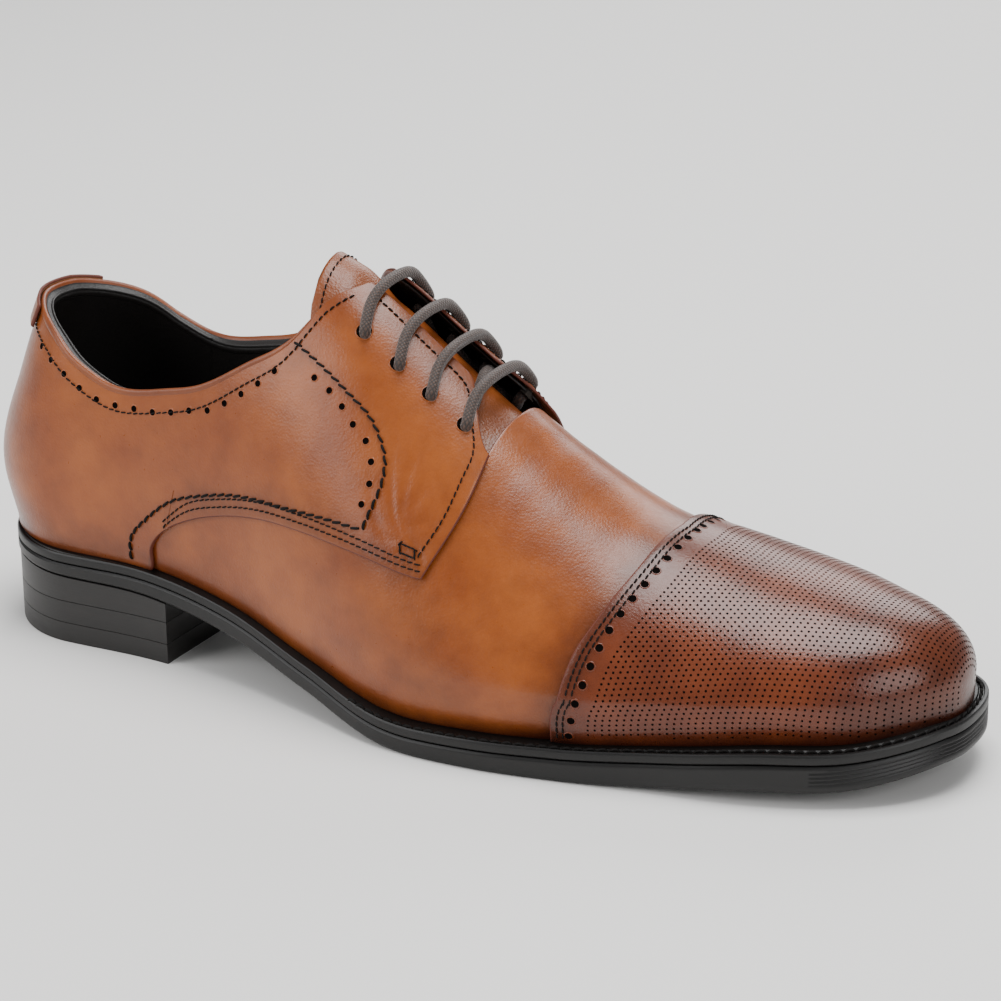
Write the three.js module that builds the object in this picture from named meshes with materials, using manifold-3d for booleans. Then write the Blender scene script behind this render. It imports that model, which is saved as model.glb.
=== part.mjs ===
// Leather lace-up shoe, right foot: toe cap, open lacing, welted sole and stacked heel.
// Millimetres. +X runs from heel to toe, +Y to the medial side, +Z up; the ground is Z = 0.
import * as THREE from 'three';
import { mergeVertices } from 'three/addons/utils/BufferGeometryUtils.js';
import loadManifold from 'manifold-3d';

// ---------------------------------------------------------------- driving dimensions
const LENGTH = 300; // heel to toe of the sole
const BREADTH = 1; // fitting: scales every half-width of the last
const HEEL_HEIGHT = 22; // under the back of the outsole
const TOE_SPRING = 9.1; // under the tip of the outsole
const INSTEP = 1; // scales the height of the last over the foot
const TOP_PIECE = 6; // rubber tip of the heel
const LOWER_LIFT = 6.5;
const HEEL_LENGTH = 67; // back of the sole to the heel breast
const WELT = 3; // thickness of the stitched strip
const LEATHER = 1; // upper leather
const LINING = 0.7;
const GLUE_LINE = 0.6; // between two layers of the upper
const FIT = 0.3; // clearance between pieces that touch
const INSOLE_BOARD = 2;
const SOCK_LINER = 1.2;
const SHANK = [67, 14, 1.3]; // length, width, thickness
const NAIL_RADIUS = 0.9;
const LACE_RADIUS = 1.6;
const EYELET_BORE = 2.3; // radius of the hole that the lace runs through
const EYELET_FLANGE = 3.6;
const EYELET_SHEET = 0.5; // thickness of an eyelet's flange
const EYELET_WALL = 0.5;
const LACE_GAP = 0.2; // between the lace and what it lies on
const TONGUE_GAP = 1.6; // between the tongue and the lace above it
const TAB_HEIGHT = 6;
const AGLET = [18, 1.75]; // length, outside radius

// ---------------------------------------------------------------- curves of the last
// Every curve is read at these shares of the length, from the back of the heel to the toe.
const STATIONS = [0, 0.1, 0.2, 0.3, 0.4, 0.5, 0.6, 0.68, 0.77, 0.85, 0.93, 0.99];
const LATERAL = [28.5, 30, 30.5, 34.5, 42, 50, 50.5, 47.5, 42.5, 39, 36, 34];
const MEDIAL = [30, 30.5, 29.5, 28, 30, 35.5, 42, 45.5, 45.5, 42, 37.5, 37];
const CENTRE = [0, 0, 0, 0, -0.5, -0.5, 0, 1.5, 3.5, 4.5, 5, 6];
const WALL = [16, 16, 16, 17, 18, 17, 14.5, 13, 12, 10.5, 9, 8]; // sole edge to widest girth
const CROWN = [82.5, 85.5, 89, 90, 85.5, 71.5, 52, 38, 28.7, 22.3, 18.2, 16]; // above that
const ROUNDNESS = [1.6, 1.6, 1.6, 1.6, 1.6, 1.42, 1.35, 1.35, 1.45, 1.6, 1.9, 1.9];
const SOLE_MARGIN = [2.5, 2, 1, 0.5, 0.5, 1.8, 2.3, 2.8, 4.2, 5.4, 5.2, 4.5];
const SOLE_EDGE = [7, 7.2, 7.7, 8.2, 8.1, 8.2, 8.8, 9.6, 10.2, 10.8, 11, 10.3];
const HEEL_RISE = [1, 0.945, 0.9, 0.673, 0.327, 0.03, 0, 0, 0, 0, 0, 0]; // share of HEEL_HEIGHT
const TOE_RISE = [0, 0, 0, 0, 0, 0, 0, 0, 0.2, 0.46, 0.57, 1]; // share of TOE_SPRING
const BACK_CURVE = [[0, 2.3], [18, -1.2], [45, 6.2], [66, 13.5], [90, 23]]; // height, lean

const HEEL_ROUND = 30;
const TOE_ROUND = 63;
const TOE_POWER = 2.12;
const CROWN_ROUND = 22.5;
const SOLE_TOE_ROUND = 70;
const SOLE_TOE_POWER = 2.4;
const BACK = -1.5; // back and front of the last
const FRONT = LENGTH - 4;
const BACK_FADE = 80; // the lean of the back fades out here
const SEAT_ROUND = 2.7; // the back is upright below this height

// ---------------------------------------------------------------- layers of the upper
// An inset is counted inwards from the last's surface.
const OUTER = [-1.2, -1.2 + LEATHER];
const MIDDLE = [OUTER[1] + GLUE_LINE, OUTER[1] + GLUE_LINE + LEATHER];
const INNER = [MIDDLE[1] + GLUE_LINE, MIDDLE[1] + GLUE_LINE + LINING];
const TAB = [OUTER[0] - GLUE_LINE - LEATHER, OUTER[0] - GLUE_LINE];
const CAVITY = INNER[1] + GLUE_LINE;
const FLANGE = MIDDLE[1] + FIT + 0.1; // outer face of an eyelet's flange
const UNDER = FLANGE + EYELET_SHEET + LACE_RADIUS + LACE_GAP; // lace below and above the facings
const OVER = OUTER[0] - LACE_RADIUS - LACE_GAP;
const TONGUE_DROP = UNDER + LACE_RADIUS + TONGUE_GAP;
const TONGUE_ENDS = [CAVITY + 0.1, CAVITY + 0.3]; // its depth at the free end and the root

const rubber = new THREE.Color(0x1c1b1d);
const leather = new THREE.Color(0xb4703f);
const capLeather = new THREE.Color(0x8d4a2c);
const liningLeather = new THREE.Color(0x1e1b1b);

/** Smooth curve through [position, value] pairs, flat beyond both ends. */
function curveThrough(pairs, at) {
  const last = pairs.length - 1;
  if (at <= pairs[0][0]) return pairs[0][1];
  if (at >= pairs[last][0]) return pairs[last][1];
  const slope = (i) => (pairs[i + 1][1] - pairs[i][1]) / (pairs[i + 1][0] - pairs[i][0]);
  const span = (i) => pairs[i + 1][0] - pairs[i][0];
  const tangent = (i) => {
    if (i === 0) return slope(0);
    if (i === last) return slope(last - 1);
    return (slope(i - 1) * span(i) + slope(i) * span(i - 1)) / (span(i) + span(i - 1));
  };
  let i = 0;
  while (at > pairs[i + 1][0]) i += 1;
  const t = (at - pairs[i][0]) / span(i);
  const rise = 3 * t * t - 2 * t * t * t;
  return (
    pairs[i][1] * (1 - rise) + pairs[i + 1][1] * rise +
    span(i) * (tangent(i) * t * (1 - t) ** 2 - tangent(i + 1) * t * t * (1 - t))
  );
}

/** Value of one of the last's curves at x. */
function along(values, x) {
  return curveThrough(values.map((value, i) => [STATIONS[i] * LENGTH, value]), x);
}

/** 0 before a, 1 after b, smooth between. */
function ease(a, b, x) {
  return THREE.MathUtils.smoothstep(x, a, b);
}

/** Round end: 0 at the end itself, 1 from `radius` inwards. */
function roundEnd(distance, radius, power) {
  const t = Math.max(0, 1 - distance / radius);
  return Math.max(0, 1 - t ** power) ** (1 / power);
}

const soleBottom = (x) => Math.max(
  0, HEEL_HEIGHT * along(HEEL_RISE, x) + TOE_SPRING * along(TOE_RISE, x));
const soleTop = (x) => soleBottom(x) + along(SOLE_EDGE, x);

/** Lean of the heel's back at height z: the topline leans forwards, the counter bulges. */
function backLean(x, z) {
  const seat = soleTop(0) + FIT + SEAT_ROUND;
  const fade = Math.min(1, Math.max(0, 1 - x / BACK_FADE));
  return curveThrough(BACK_CURVE, (z - seat) / INSTEP) * fade * fade * (3 - 2 * fade);
}

const LIFT_SHARES = [0.37, 0.45, 0.54, 0.58]; // of the length: the facings rise, stay up and fall

/** The facings ride over the tongue and lace, so the upper lifts there. */
function facingLift(x, girth) {
  const [rise, level, dip, end] = LIFT_SHARES.map((share) => share * LENGTH);
  const lengthwise = ease(rise, level, x) - ease(dip, end, x);
  return 2 * lengthwise * ease(1.35, 1.75, girth);
}

/**
 * Point of the upper. x is the place along the last, side is -1 (lateral) or 1 (medial).
 * girth is 0 at the sole, 1 at the widest line and 2 on the ridge of the instep.
 */
function upperPoint(x, side, girth, inset) {
  const wall = Math.min(girth, 1);
  const arch = Math.sin(Math.max(0, girth - 1) * Math.PI / 2);
  const crown = (INSTEP * along(CROWN, x) - inset) * roundEnd(FRONT - x, CROWN_ROUND, 2);
  const z = soleTop(x) + FIT + along(WALL, x) * wall + crown * arch;
  const bulge = girth <= 1
    ? 1 - 0.06 * (1 - wall) ** 2
    : Math.sqrt(Math.max(0, 1 - arch ** along(ROUNDNESS, x)));
  const half = BREADTH * along(side < 0 ? LATERAL : MEDIAL, x) - inset;
  const ends = roundEnd(x - BACK, HEEL_ROUND, 2) * roundEnd(FRONT - x, TOE_ROUND, TOE_POWER);
  const stretch = (FRONT - BACK - 2 * inset) / (FRONT - BACK);
  const placed = BACK + inset + (x - BACK) * stretch;
  return new THREE.Vector3(
    placed + backLean(x, z), along(CENTRE, x) + side * half * ends * bulge, z);
}

/** Half-width of the sole at x, from the last's centre line. */
function soleHalf(x, side, inset) {
  const half = BREADTH * along(side < 0 ? LATERAL : MEDIAL, x) + along(SOLE_MARGIN, x) - inset;
  return half * roundEnd(x - inset, HEEL_ROUND + 1, 2) *
    roundEnd(LENGTH - inset - x, SOLE_TOE_ROUND, SOLE_TOE_POWER);
}

/** `count` + 1 places from a to b, drawn together at the ends that are named round. */
function spaced(a, b, count, roundStart, roundFinish) {
  return Array.from({ length: count + 1 }, (_, i) => {
    let t = i / count;
    if (roundStart && roundFinish) t = (1 - Math.cos(Math.PI * t)) / 2;
    else if (roundStart) t = 1 - Math.cos(Math.PI * t / 2);
    else if (roundFinish) t = Math.sin(Math.PI * t / 2);
    return a + (b - a) * t;
  });
}

/** Closed geometry from triangles of Vector3, turned so that it faces outwards. */
function solidFrom(triangles) {
  const flat = triangles.flatMap((t) => t.flatMap((p) => [p.x, p.y, p.z]));
  let geometry = new THREE.BufferGeometry();
  geometry.setAttribute('position', new THREE.Float32BufferAttribute(flat, 3));
  geometry = mergeVertices(geometry, 1e-3);
  const index = geometry.index.array;
  const kept = [];
  for (let i = 0; i < index.length; i += 3) {
    const [a, b, c] = [index[i], index[i + 1], index[i + 2]];
    if (a !== b && b !== c && c !== a) kept.push(a, b, c);
  }
  const at = (i) => new THREE.Vector3().fromBufferAttribute(geometry.attributes.position, i);
  let volume = 0;
  for (let i = 0; i < kept.length; i += 3) {
    volume += at(kept[i]).dot(at(kept[i + 1]).cross(at(kept[i + 2])));
  }
  if (volume < 0) kept.reverse();
  geometry.setIndex(kept);
  geometry.computeVertexNormals();
  return geometry;
}

/** Rows of a panel: few up the straight wall, `count` over the arch. */
const climb = (count) => [0, 0.28, 0.55, ...spaced(0.55, 1, count).slice(1)];

function quad(a, b, c, d) {
  return [[a, b, c], [a, c, d]];
}

/**
 * Leather panel between two insets. `patch(side, u, v)` gives [x, girth] for u, v in 0..1,
 * u lengthwise and v upwards, and `keep(u, v)` says which cells are leather. The two sides
 * join on the ridge, and at the back or front where `joined` names it. Panels of the lacing
 * area take the facings' lift.
 */
function panel({
  sides, us, vs, patch, layer, keep = () => true, drop = () => 0, joined = '', lifted = false,
}) {
  const triangles = [];
  const [columns, rows] = [us.length - 1, vs.length - 1];
  const isLeather = (i, j) => i >= 0 && j >= 0 && i < columns && j < rows &&
    keep((us[i] + us[i + 1]) / 2, (vs[j] + vs[j + 1]) / 2);
  const onRidge = (side, i, j) => patch(side, us[i], vs[j])[1] > 1.9999;
  for (const side of sides) {
    const point = (i, j, inset) => {
      const [x, girth] = patch(side, us[i], vs[j]);
      return upperPoint(x, side, girth, inset - (lifted ? facingLift(x, girth) : 0) + drop(x));
    };
    const skin = (i, j) => point(i, j, layer[0]);
    const back = (i, j) => point(i, j, layer[1]);
    const put = (faces) => triangles.push(...(side < 0 ? faces : faces.map(([p, q, r]) => [p, r, q])));
    const wall = ([i, j], [k, l]) => put(quad(skin(i, j), back(i, j), back(k, l), skin(k, l)));
    for (let i = 0; i < columns; i += 1) {
      for (let j = 0; j < rows; j += 1) {
        if (!isLeather(i, j)) continue;
        put(quad(skin(i, j), skin(i + 1, j), skin(i + 1, j + 1), skin(i, j + 1)));
        put(quad(back(i, j), back(i, j + 1), back(i + 1, j + 1), back(i + 1, j)));
        if (!isLeather(i, j - 1)) wall([i, j], [i + 1, j]);
        const closes = j + 1 === rows && onRidge(side, i, rows) && onRidge(side, i + 1, rows);
        if (!isLeather(i, j + 1) && !closes) wall([i + 1, j + 1], [i, j + 1]);
        if (!isLeather(i - 1, j) && !(i === 0 && joined === 'back')) wall([i, j + 1], [i, j]);
        if (!isLeather(i + 1, j) && !(i === columns - 1 && joined === 'front')) {
          wall([i + 1, j], [i + 1, j + 1]);
        }
      }
    }
  }
  return solidFrom(triangles);
}

/** Flat-sided plate between two heights, cut to the outline that edge(x, side) gives. */
function plate(xs, edge, top, bottom) {
  const corner = (x, side, level) => {
    const p = edge(x, side);
    return new THREE.Vector3(p.x, p.y, level(p.x));
  };
  const triangles = [];
  for (let i = 0; i < xs.length - 1; i += 1) {
    const [near, far] = [xs[i], xs[i + 1]];
    const ring = (x) => [
      corner(x, -1, bottom), corner(x, 1, bottom), corner(x, 1, top), corner(x, -1, top)];
    const [a, b] = [ring(near), ring(far)];
    for (let k = 0; k < 4; k += 1) {
      const next = (k + 1) % 4;
      triangles.push(...quad(a[k], b[k], b[next], a[next]));
    }
  }
  const cap = (x) => [
    corner(x, -1, bottom), corner(x, 1, bottom), corner(x, 1, top), corner(x, -1, top)];
  triangles.push(...quad(...cap(xs[0])), ...quad(...cap(xs[xs.length - 1]).reverse()));
  return solidFrom(triangles);
}

const soleEdge = (inset) => (x, side) => ({ x, y: along(CENTRE, x) + side * soleHalf(x, side, inset) });
const footprint = (inset) => (x, side) => upperPoint(x, side, 0, inset);

/** Girth at which the upper at x reaches height z. */
function girthAtHeight(x, z) {
  const widest = soleTop(x) + FIT + along(WALL, x);
  if (z <= widest) return 1 - (widest - z) / along(WALL, x);
  return 1 + Math.asin(Math.min(1, (z - widest) / (INSTEP * along(CROWN, x)))) * 2 / Math.PI;
}

/** Straight runs through [position, value] pairs. */
function lineThrough(pairs, at) {
  let i = 0;
  while (i < pairs.length - 2 && at > pairs[i + 1][0]) i += 1;
  const t = (at - pairs[i][0]) / (pairs[i + 1][0] - pairs[i][0]);
  return pairs[i][1] + (pairs[i + 1][1] - pairs[i][1]) * Math.min(1, Math.max(0, t));
}

// ---------------------------------------------------------------- pattern lines
// Places along the shoe are shares of LENGTH, heights are above the sole's top edge.
const TOPLINE = [
  [0, 68], [0.06, 63], [0.107, 57], [0.17, 52.1], [0.228, 55.8], [0.263, 59.9],
  [0.32, 72.6], [0.365, 84.9], [0.39, 96], [0.418, 101]];
const FACING_TOP = 0.418;
const FACING_FOOT = 0.545;
const FACING_GIRTH = 1.88;
const QUARTER_LOWER = [
  [0.208, 0], [0.21, 0.44], [0.23, 0.93], [0.263, 1.04], [0.303, 1.08],
  [0.363, 1.13], [0.423, 1.17], [0.477, 1.21], [0.533, 1.24]];
const VAMP_UNDERLAP = 0.2; // girth of vamp hidden under the quarter
const CAP_SEAM = [
  [0, 0.664], [1, 0.674], [1.1, 0.677], [1.22, 0.682], [1.33, 0.69], [1.47, 0.699],
  [1.62, 0.707], [1.79, 0.711], [2, 0.715]]; // girth, place
const CAP_LAP = 9; // toe cap over vamp
const THROAT = 0.56;
const COUNTER_FRONT = 0.16;
const COUNTER_HEIGHT = 40;
const LINING_SEAM = 0.37; // quarter lining meets vamp lining
const TONGUE = [0.36, 0.58]; // free end, root
const TONGUE_GIRTH = 1.52;
const EYELETS = [0.431, 0.467, 0.5, 0.535];
const EYELET_GIRTH = 1.7;
const SEAM_START = BACK + HEEL_ROUND / 2 * (FIT / 2 / MEDIAL[0]) ** 2;

const topGirth = (x) => (x < FACING_TOP * LENGTH
  ? Math.min(FACING_GIRTH, girthAtHeight(x, soleTop(x) + curveThrough(TOPLINE, x / LENGTH)))
  : FACING_GIRTH);
const capSeam = (girth) => lineThrough(CAP_SEAM, girth) * LENGTH;
const mix = THREE.MathUtils.lerp;

// ---------------------------------------------------------------- upper
const quarterUs = [...spaced(0, 0.3, 12, true), ...spaced(0.3, 1, 18).slice(1)];

/** Quarter pattern: along the sole to the arch, then up and over to the bottom of the facing. */
function quarterPatch(side, u, v) {
  const arch = QUARTER_LOWER.map(([place, girth], i) => [0.3 + 0.7 * i / 8, place * LENGTH, girth]);
  const lowX = lineThrough([[0, SEAM_START], ...arch.map(([t, x]) => [t, x])], u);
  const lowGirth = lineThrough([[0, 0], ...arch.map(([t, , girth]) => [t, girth])], u);
  const highX = lineThrough([[0, SEAM_START], [0.3, 0.17 * LENGTH], [0.75, FACING_TOP * LENGTH],
    [1, (FACING_FOOT + 0.015) * LENGTH]], u);
  const highGirth = topGirth(highX) - 0.16 * ease(0.93, 1, u);
  return [mix(lowX, highX, v), mix(lowGirth, highGirth, v)];
}

const quarter = (side) => panel({
  sides: [side], us: quarterUs, vs: spaced(0, 1, 11), patch: quarterPatch, layer: OUTER, lifted: true });

/** Pattern between two girths, column by column. */
const strip = (a, b, low, high) => (side, u, v) => {
  const x = mix(a, b, u);
  return [x, mix(low(x), high(x), v)];
};

const WING_SHARE = 0.72; // of the rows: the wings of the vamp and its lining end there
const WING_GIRTH = 2 * WING_SHARE;
const wingTop = (x) => Math.min(WING_GIRTH, lineThrough([[0.168, 0.3], [0.187, 0.9], [0.22, 1.15],
  ...QUARTER_LOWER.slice(3).map(([place, girth]) => [place, girth + VAMP_UNDERLAP]),
  [THROAT - 0.01, WING_GIRTH]], x / LENGTH));
const wingRows = [0, 0.2, 0.4, ...spaced(0.4, WING_SHARE, 5).slice(1), ...spaced(WING_SHARE, 1, 4).slice(1)];
const THROAT_SHARE = 0.66; // of the columns

/** Vamp pattern: wings back to the heel counter, throat across the instep, lap under the cap. */
function vampPatch(side, u, v) {
  const start = (COUNTER_FRONT + 0.01) * LENGTH;
  const throat = THROAT * LENGTH;
  if (u <= THROAT_SHARE) {
    const x = mix(start, throat, u / THROAT_SHARE);
    return [x, v <= WING_SHARE ? wingTop(x) * v / WING_SHARE : 2 * v];
  }
  const front = capSeam(2 * v) + CAP_LAP;
  return [mix(throat, front, (u - THROAT_SHARE) / (1 - THROAT_SHARE)), 2 * v];
}
const vamp = panel({
  sides: [-1, 1], us: [...spaced(0, THROAT_SHARE, 12), ...spaced(THROAT_SHARE, 1, 7).slice(1)],
  vs: wingRows, patch: vampPatch, layer: MIDDLE,
  keep: (u, v) => u > THROAT_SHARE || v < WING_SHARE });

const toePatch = (startLap) => (side, u, v) => {
  const girth = 2 * v;
  const start = capSeam(girth) + startLap;
  return [mix(start, FRONT, u), girth];
};
const toeCap = panel({
  sides: [-1, 1], us: spaced(0, 1, 12, false, true), vs: wingRows, patch: toePatch(0),
  layer: OUTER, joined: 'front' });
const toePuff = panel({
  sides: [-1, 1], us: spaced(0, 1, 10, false, true), vs: wingRows, patch: toePatch(CAP_LAP + 4),
  layer: MIDDLE, joined: 'front' });

const liningStart = LINING_SEAM * LENGTH + FIT;
const THROAT_SETBACK = 0.015; // the lining's throat lies behind the vamp's
const liningThroat = (THROAT - THROAT_SETBACK) * LENGTH;
const liningShare = (liningThroat - liningStart) / (FRONT - liningStart);
const vampLining = panel({
  sides: [-1, 1],
  us: [...spaced(0, liningShare, 7), ...spaced(liningShare, 0.68, 9).slice(1),
    ...spaced(0.68, 1, 8, false, true).slice(1)],
  vs: wingRows, patch: strip(liningStart, FRONT, () => 0, () => 2), layer: INNER, joined: 'front',
  keep: (u, v) => u > liningShare || v < WING_SHARE });

const GRIP_SHARE = 0.15; // the heel grip ends here
const gripEnd = GRIP_SHARE * LENGTH;
const heelGrip = panel({
  sides: [-1, 1], us: spaced(0, 1, 12, true), vs: climb(7),
  patch: strip(BACK, gripEnd, () => 0, topGirth), layer: INNER, joined: 'back' });
const quarterLining = (side) => panel({
  sides: [side], us: spaced(0, 1, 8), vs: climb(7),
  patch: strip(gripEnd + FIT, LINING_SEAM * LENGTH, () => 0, topGirth), layer: INNER });
const counter = panel({
  sides: [-1, 1], us: spaced(0, 1, 12, true), vs: climb(5),
  patch: strip(BACK, COUNTER_FRONT * LENGTH, () => 0.03,
    (x) => girthAtHeight(x, soleTop(x) + COUNTER_HEIGHT)),
  layer: [MIDDLE[0] + 0.2, MIDDLE[1]], joined: 'back' });
const TAB_SHARE = 0.02; // the heel tab reaches this far forwards

const heelTab = panel({
  sides: [-1, 1], us: spaced(0, 1, 6, true), vs: [0, 1],
  patch: (side, u, v) => {
    const x = mix(BACK, TAB_SHARE * LENGTH, u);
    const top = soleTop(x) + curveThrough(TOPLINE, x / LENGTH);
    return [x, girthAtHeight(x, top - TAB_HEIGHT * (1 - v))];
  },
  layer: TAB, joined: 'back' });

const STAY_SHARE = 0.39; // the facing stays start here, under the top of the facings
const STAY_GIRTH = 1.5;
const STAY_TRIM = 0.02; // below the edge of the quarter

const facingStay = (side) => panel({
  sides: [side], us: spaced(0, 1, 12), vs: spaced(0, 1, 4),
  patch: strip(STAY_SHARE * LENGTH, FACING_FOOT * LENGTH, () => STAY_GIRTH, (x) => topGirth(x) - STAY_TRIM),
  layer: [MIDDLE[0] + 0.2, MIDDLE[1]], lifted: true });

const TONGUE_SHARES = [0.385, 0.42, 0.54]; // it dips between the first two and rises from the third
const TONGUE_WIDE = 0.5; // from here its root narrows, by TONGUE_TAPER of the girth
const TONGUE_TAPER = 0.08;

/** The tongue lies deeper under the lacing than at its free end and its root. */
const tongueDrop = (x) => TONGUE_DROP -
  (TONGUE_DROP - TONGUE_ENDS[0]) * (1 - ease(TONGUE_SHARES[0] * LENGTH, TONGUE_SHARES[1] * LENGTH, x)) -
  (TONGUE_DROP - TONGUE_ENDS[1]) * ease(TONGUE_SHARES[2] * LENGTH, TONGUE[1] * LENGTH, x);
const tongueBody = (layer, trim) => panel({
  sides: [-1, 1], us: spaced(0, 1, 11), vs: spaced(0, 1, 5),
  patch: strip(TONGUE[0] * LENGTH + trim, TONGUE[1] * LENGTH - trim,
    (x) => TONGUE_GIRTH + TONGUE_TAPER * ease(TONGUE_WIDE * LENGTH, TONGUE[1] * LENGTH, x), () => 2),
  layer, drop: tongueDrop, lifted: true });
const tongue = tongueBody([0, LEATHER], 0);
const tongueLining = tongueBody([LEATHER + FIT, LEATHER + FIT + LINING], 1);

// ---------------------------------------------------------------- bottom
const soleStations = spaced(0, LENGTH, 40, true, true);
const outsole = plate(soleStations, soleEdge(0), (x) => soleTop(x) - WELT - FIT, soleBottom);

const WELT_REACH = 6; // the welt reaches this far inside the last's surface

/** Stitched strip round the whole edge: the upper stands on it. */
function weltRing() {
  const triangles = [];
  const steps = 44;
  const rims = [OUTER[0], CAVITY].map((inset) => [footprint(inset), BACK, FRONT]);
  const lines = [[soleEdge(0), 0, LENGTH], ...rims, [footprint(WELT_REACH), BACK, FRONT]];
  for (const side of [-1, 1]) {
    const points = lines.map(([edge, from, to]) => spaced(from, to, steps, true, true)
      .map((x) => edge(x, side)));
    const corner = (line, k, drop) => {
      const p = points[line][k];
      return new THREE.Vector3(p.x, p.y, soleTop(p.x) - drop);
    };
    const ring = (k) => [
      ...lines.map((_, line) => corner(line, k, 0)),
      ...lines.map((_, line) => corner(lines.length - 1 - line, k, WELT))];
    for (let i = 0; i < steps; i += 1) {
      const [a, b] = [ring(i), ring(i + 1)];
      for (let k = 0; k < a.length; k += 1) {
        const next = (k + 1) % a.length;
        const faces = quad(a[k], b[k], b[next], a[next]);
        triangles.push(...(side < 0 ? faces : faces.map(([p, q, r]) => [p, r, q])));
      }
    }
  }
  return solidFrom(triangles);
}
const welt = weltRing();

const below = (drop) => (x) => soleTop(x) - drop;
const FILLER_GAP = 0.8; // between a filler and the welt
const filler = (a, b, roundStart, roundFinish) => plate(
  spaced(a, b, 20, roundStart, roundFinish), footprint(WELT_REACH + FILLER_GAP), below(0), below(WELT));
const SHANK_SHARE = 0.16; // the shank starts here
const shankStart = SHANK_SHARE * LENGTH;
const shankEnd = shankStart + SHANK[0];
const heelSeat = filler(BACK, shankStart - WELT_REACH - 4, true, false);
const corkFiller = filler(shankEnd + 3, FRONT, false, true);
const SHANK_DEPTH = 0.8; // under the insole board
const shank = plate(
  spaced(shankStart, shankEnd, 10), (x, side) => ({ x, y: side * SHANK[1] / 2 }),
  below(SHANK_DEPTH), below(SHANK_DEPTH + SHANK[2]));
const insoleBoard = plate(
  spaced(BACK, FRONT, 44, true, true), footprint(CAVITY + 0.2),
  below(-FIT - INSOLE_BOARD), below(-FIT));
const sockFloor = 2 * FIT + INSOLE_BOARD;
const sockLiner = plate(
  spaced(BACK, FRONT, 44, true, true), footprint(CAVITY + 0.4),
  below(-sockFloor - SOCK_LINER), below(-sockFloor));

// ---------------------------------------------------------------- heel
const HEEL_INSET = 0.4; // heel inside the sole's edge
const NAILS = [[12, 0], [23, -16], [23, 16], [43, -19], [43, 19], [58, 0]];
const liftTop = TOP_PIECE + FIT + LOWER_LIFT;

/** Flat heel layer with a bore for each nail. */
function heelLayer(from, thickness) {
  const xs = spaced(HEEL_INSET, HEEL_LENGTH, 14, true);
  const rim = (side) => xs.map((x) => new THREE.Vector2(x, side * soleHalf(x, side, HEEL_INSET)));
  const shape = new THREE.Shape([...rim(-1), ...rim(1).slice(1).reverse()]);
  for (const [x, y] of NAILS) {
    shape.holes.push(new THREE.Path().absarc(x, y, NAIL_RADIUS + FIT, 0, 2 * Math.PI, true));
  }
  return new THREE.ExtrudeGeometry(shape, { depth: thickness, bevelEnabled: false, curveSegments: 6 })
    .translate(0, 0, from);
}
const topPiece = heelLayer(0, TOP_PIECE);
const lowerLift = heelLayer(TOP_PIECE + FIT, LOWER_LIFT);
const upperLift = plate(
  spaced(HEEL_INSET, HEEL_LENGTH, 16, true), soleEdge(HEEL_INSET),
  (x) => soleBottom(x) - FIT, () => liftTop + FIT);
const NAIL_RECESS = 1;

function nailAt([x, y]) {
  const length = liftTop - NAIL_RECESS - FIT;
  return new THREE.CylinderGeometry(NAIL_RADIUS, NAIL_RADIUS, length, 10)
    .rotateX(Math.PI / 2).translate(x, y, NAIL_RECESS + length / 2);
}

// ---------------------------------------------------------------- eyelets
/** Frame of a lace hole: the point on the last and the way out of the leather. */
function holeFrame(place, side) {
  const x = place * LENGTH;
  const lifted = (px, girth) => upperPoint(px, side, girth, -facingLift(px, girth));
  const point = lifted(x, EYELET_GIRTH);
  const lengthwise = lifted(x + 1, EYELET_GIRTH).sub(lifted(x - 1, EYELET_GIRTH));
  const upwards = lifted(x, EYELET_GIRTH + 0.02).sub(lifted(x, EYELET_GIRTH - 0.02));
  const out = lengthwise.cross(upwards).multiplyScalar(-side).normalize();
  return { point, out };
}

function aimed(geometry, { point, out }, inset) {
  const turn = new THREE.Quaternion().setFromUnitVectors(new THREE.Vector3(0, 0, 1), out);
  const place = point.clone().addScaledVector(out, -inset);
  return geometry.applyQuaternion(turn).translate(place.x, place.y, place.z);
}

const HOLE_DEPTH = 8;

/** Blind eyelet: flange on the stay's inner face, barrel up through the stay. */
function eyelet(frame) {
  const barrel = EYELET_BORE + EYELET_WALL;
  const profile = [
    [EYELET_BORE, 0], [EYELET_FLANGE, 0], [EYELET_FLANGE, EYELET_SHEET],
    [barrel, EYELET_SHEET], [barrel, EYELET_SHEET + LEATHER], [EYELET_BORE, EYELET_SHEET + LEATHER],
    [EYELET_BORE, 0]].map(([r, z]) => new THREE.Vector2(r, z));
  const ring = mergeVertices(new THREE.LatheGeometry(profile, 12).deleteAttribute('uv')
    .deleteAttribute('normal').rotateX(Math.PI / 2), 1e-4);
  return aimed(ring, frame, FLANGE + EYELET_SHEET);
}

const manifold = await loadManifold();
manifold.setup();

/** Cuts a round hole of the given radius at each frame. */
function punched(geometry, frames, radius) {
  const mesh = new manifold.Mesh({
    numProp: 3,
    vertProperties: new Float32Array(geometry.attributes.position.array),
    triVerts: new Uint32Array(geometry.index.array),
  });
  let body = new manifold.Manifold(mesh);
  for (const { point, out } of frames) {
    const turn = new THREE.Quaternion().setFromUnitVectors(new THREE.Vector3(0, 0, 1), out);
    const placed = new THREE.Matrix4().compose(point, turn, new THREE.Vector3(1, 1, 1));
    body = body.subtract(
      manifold.Manifold.cylinder(HOLE_DEPTH, radius, radius, 16, true).transform(placed.elements));
  }
  const cut = body.getMesh();
  const result = new THREE.BufferGeometry();
  result.setAttribute('position', new THREE.Float32BufferAttribute(cut.vertProperties, 3));
  result.setIndex([...cut.triVerts]);
  result.computeVertexNormals();
  return result;
}

const holes = (side) => EYELETS.map((place) => holeFrame(place, side));

// ---------------------------------------------------------------- lace

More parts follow.
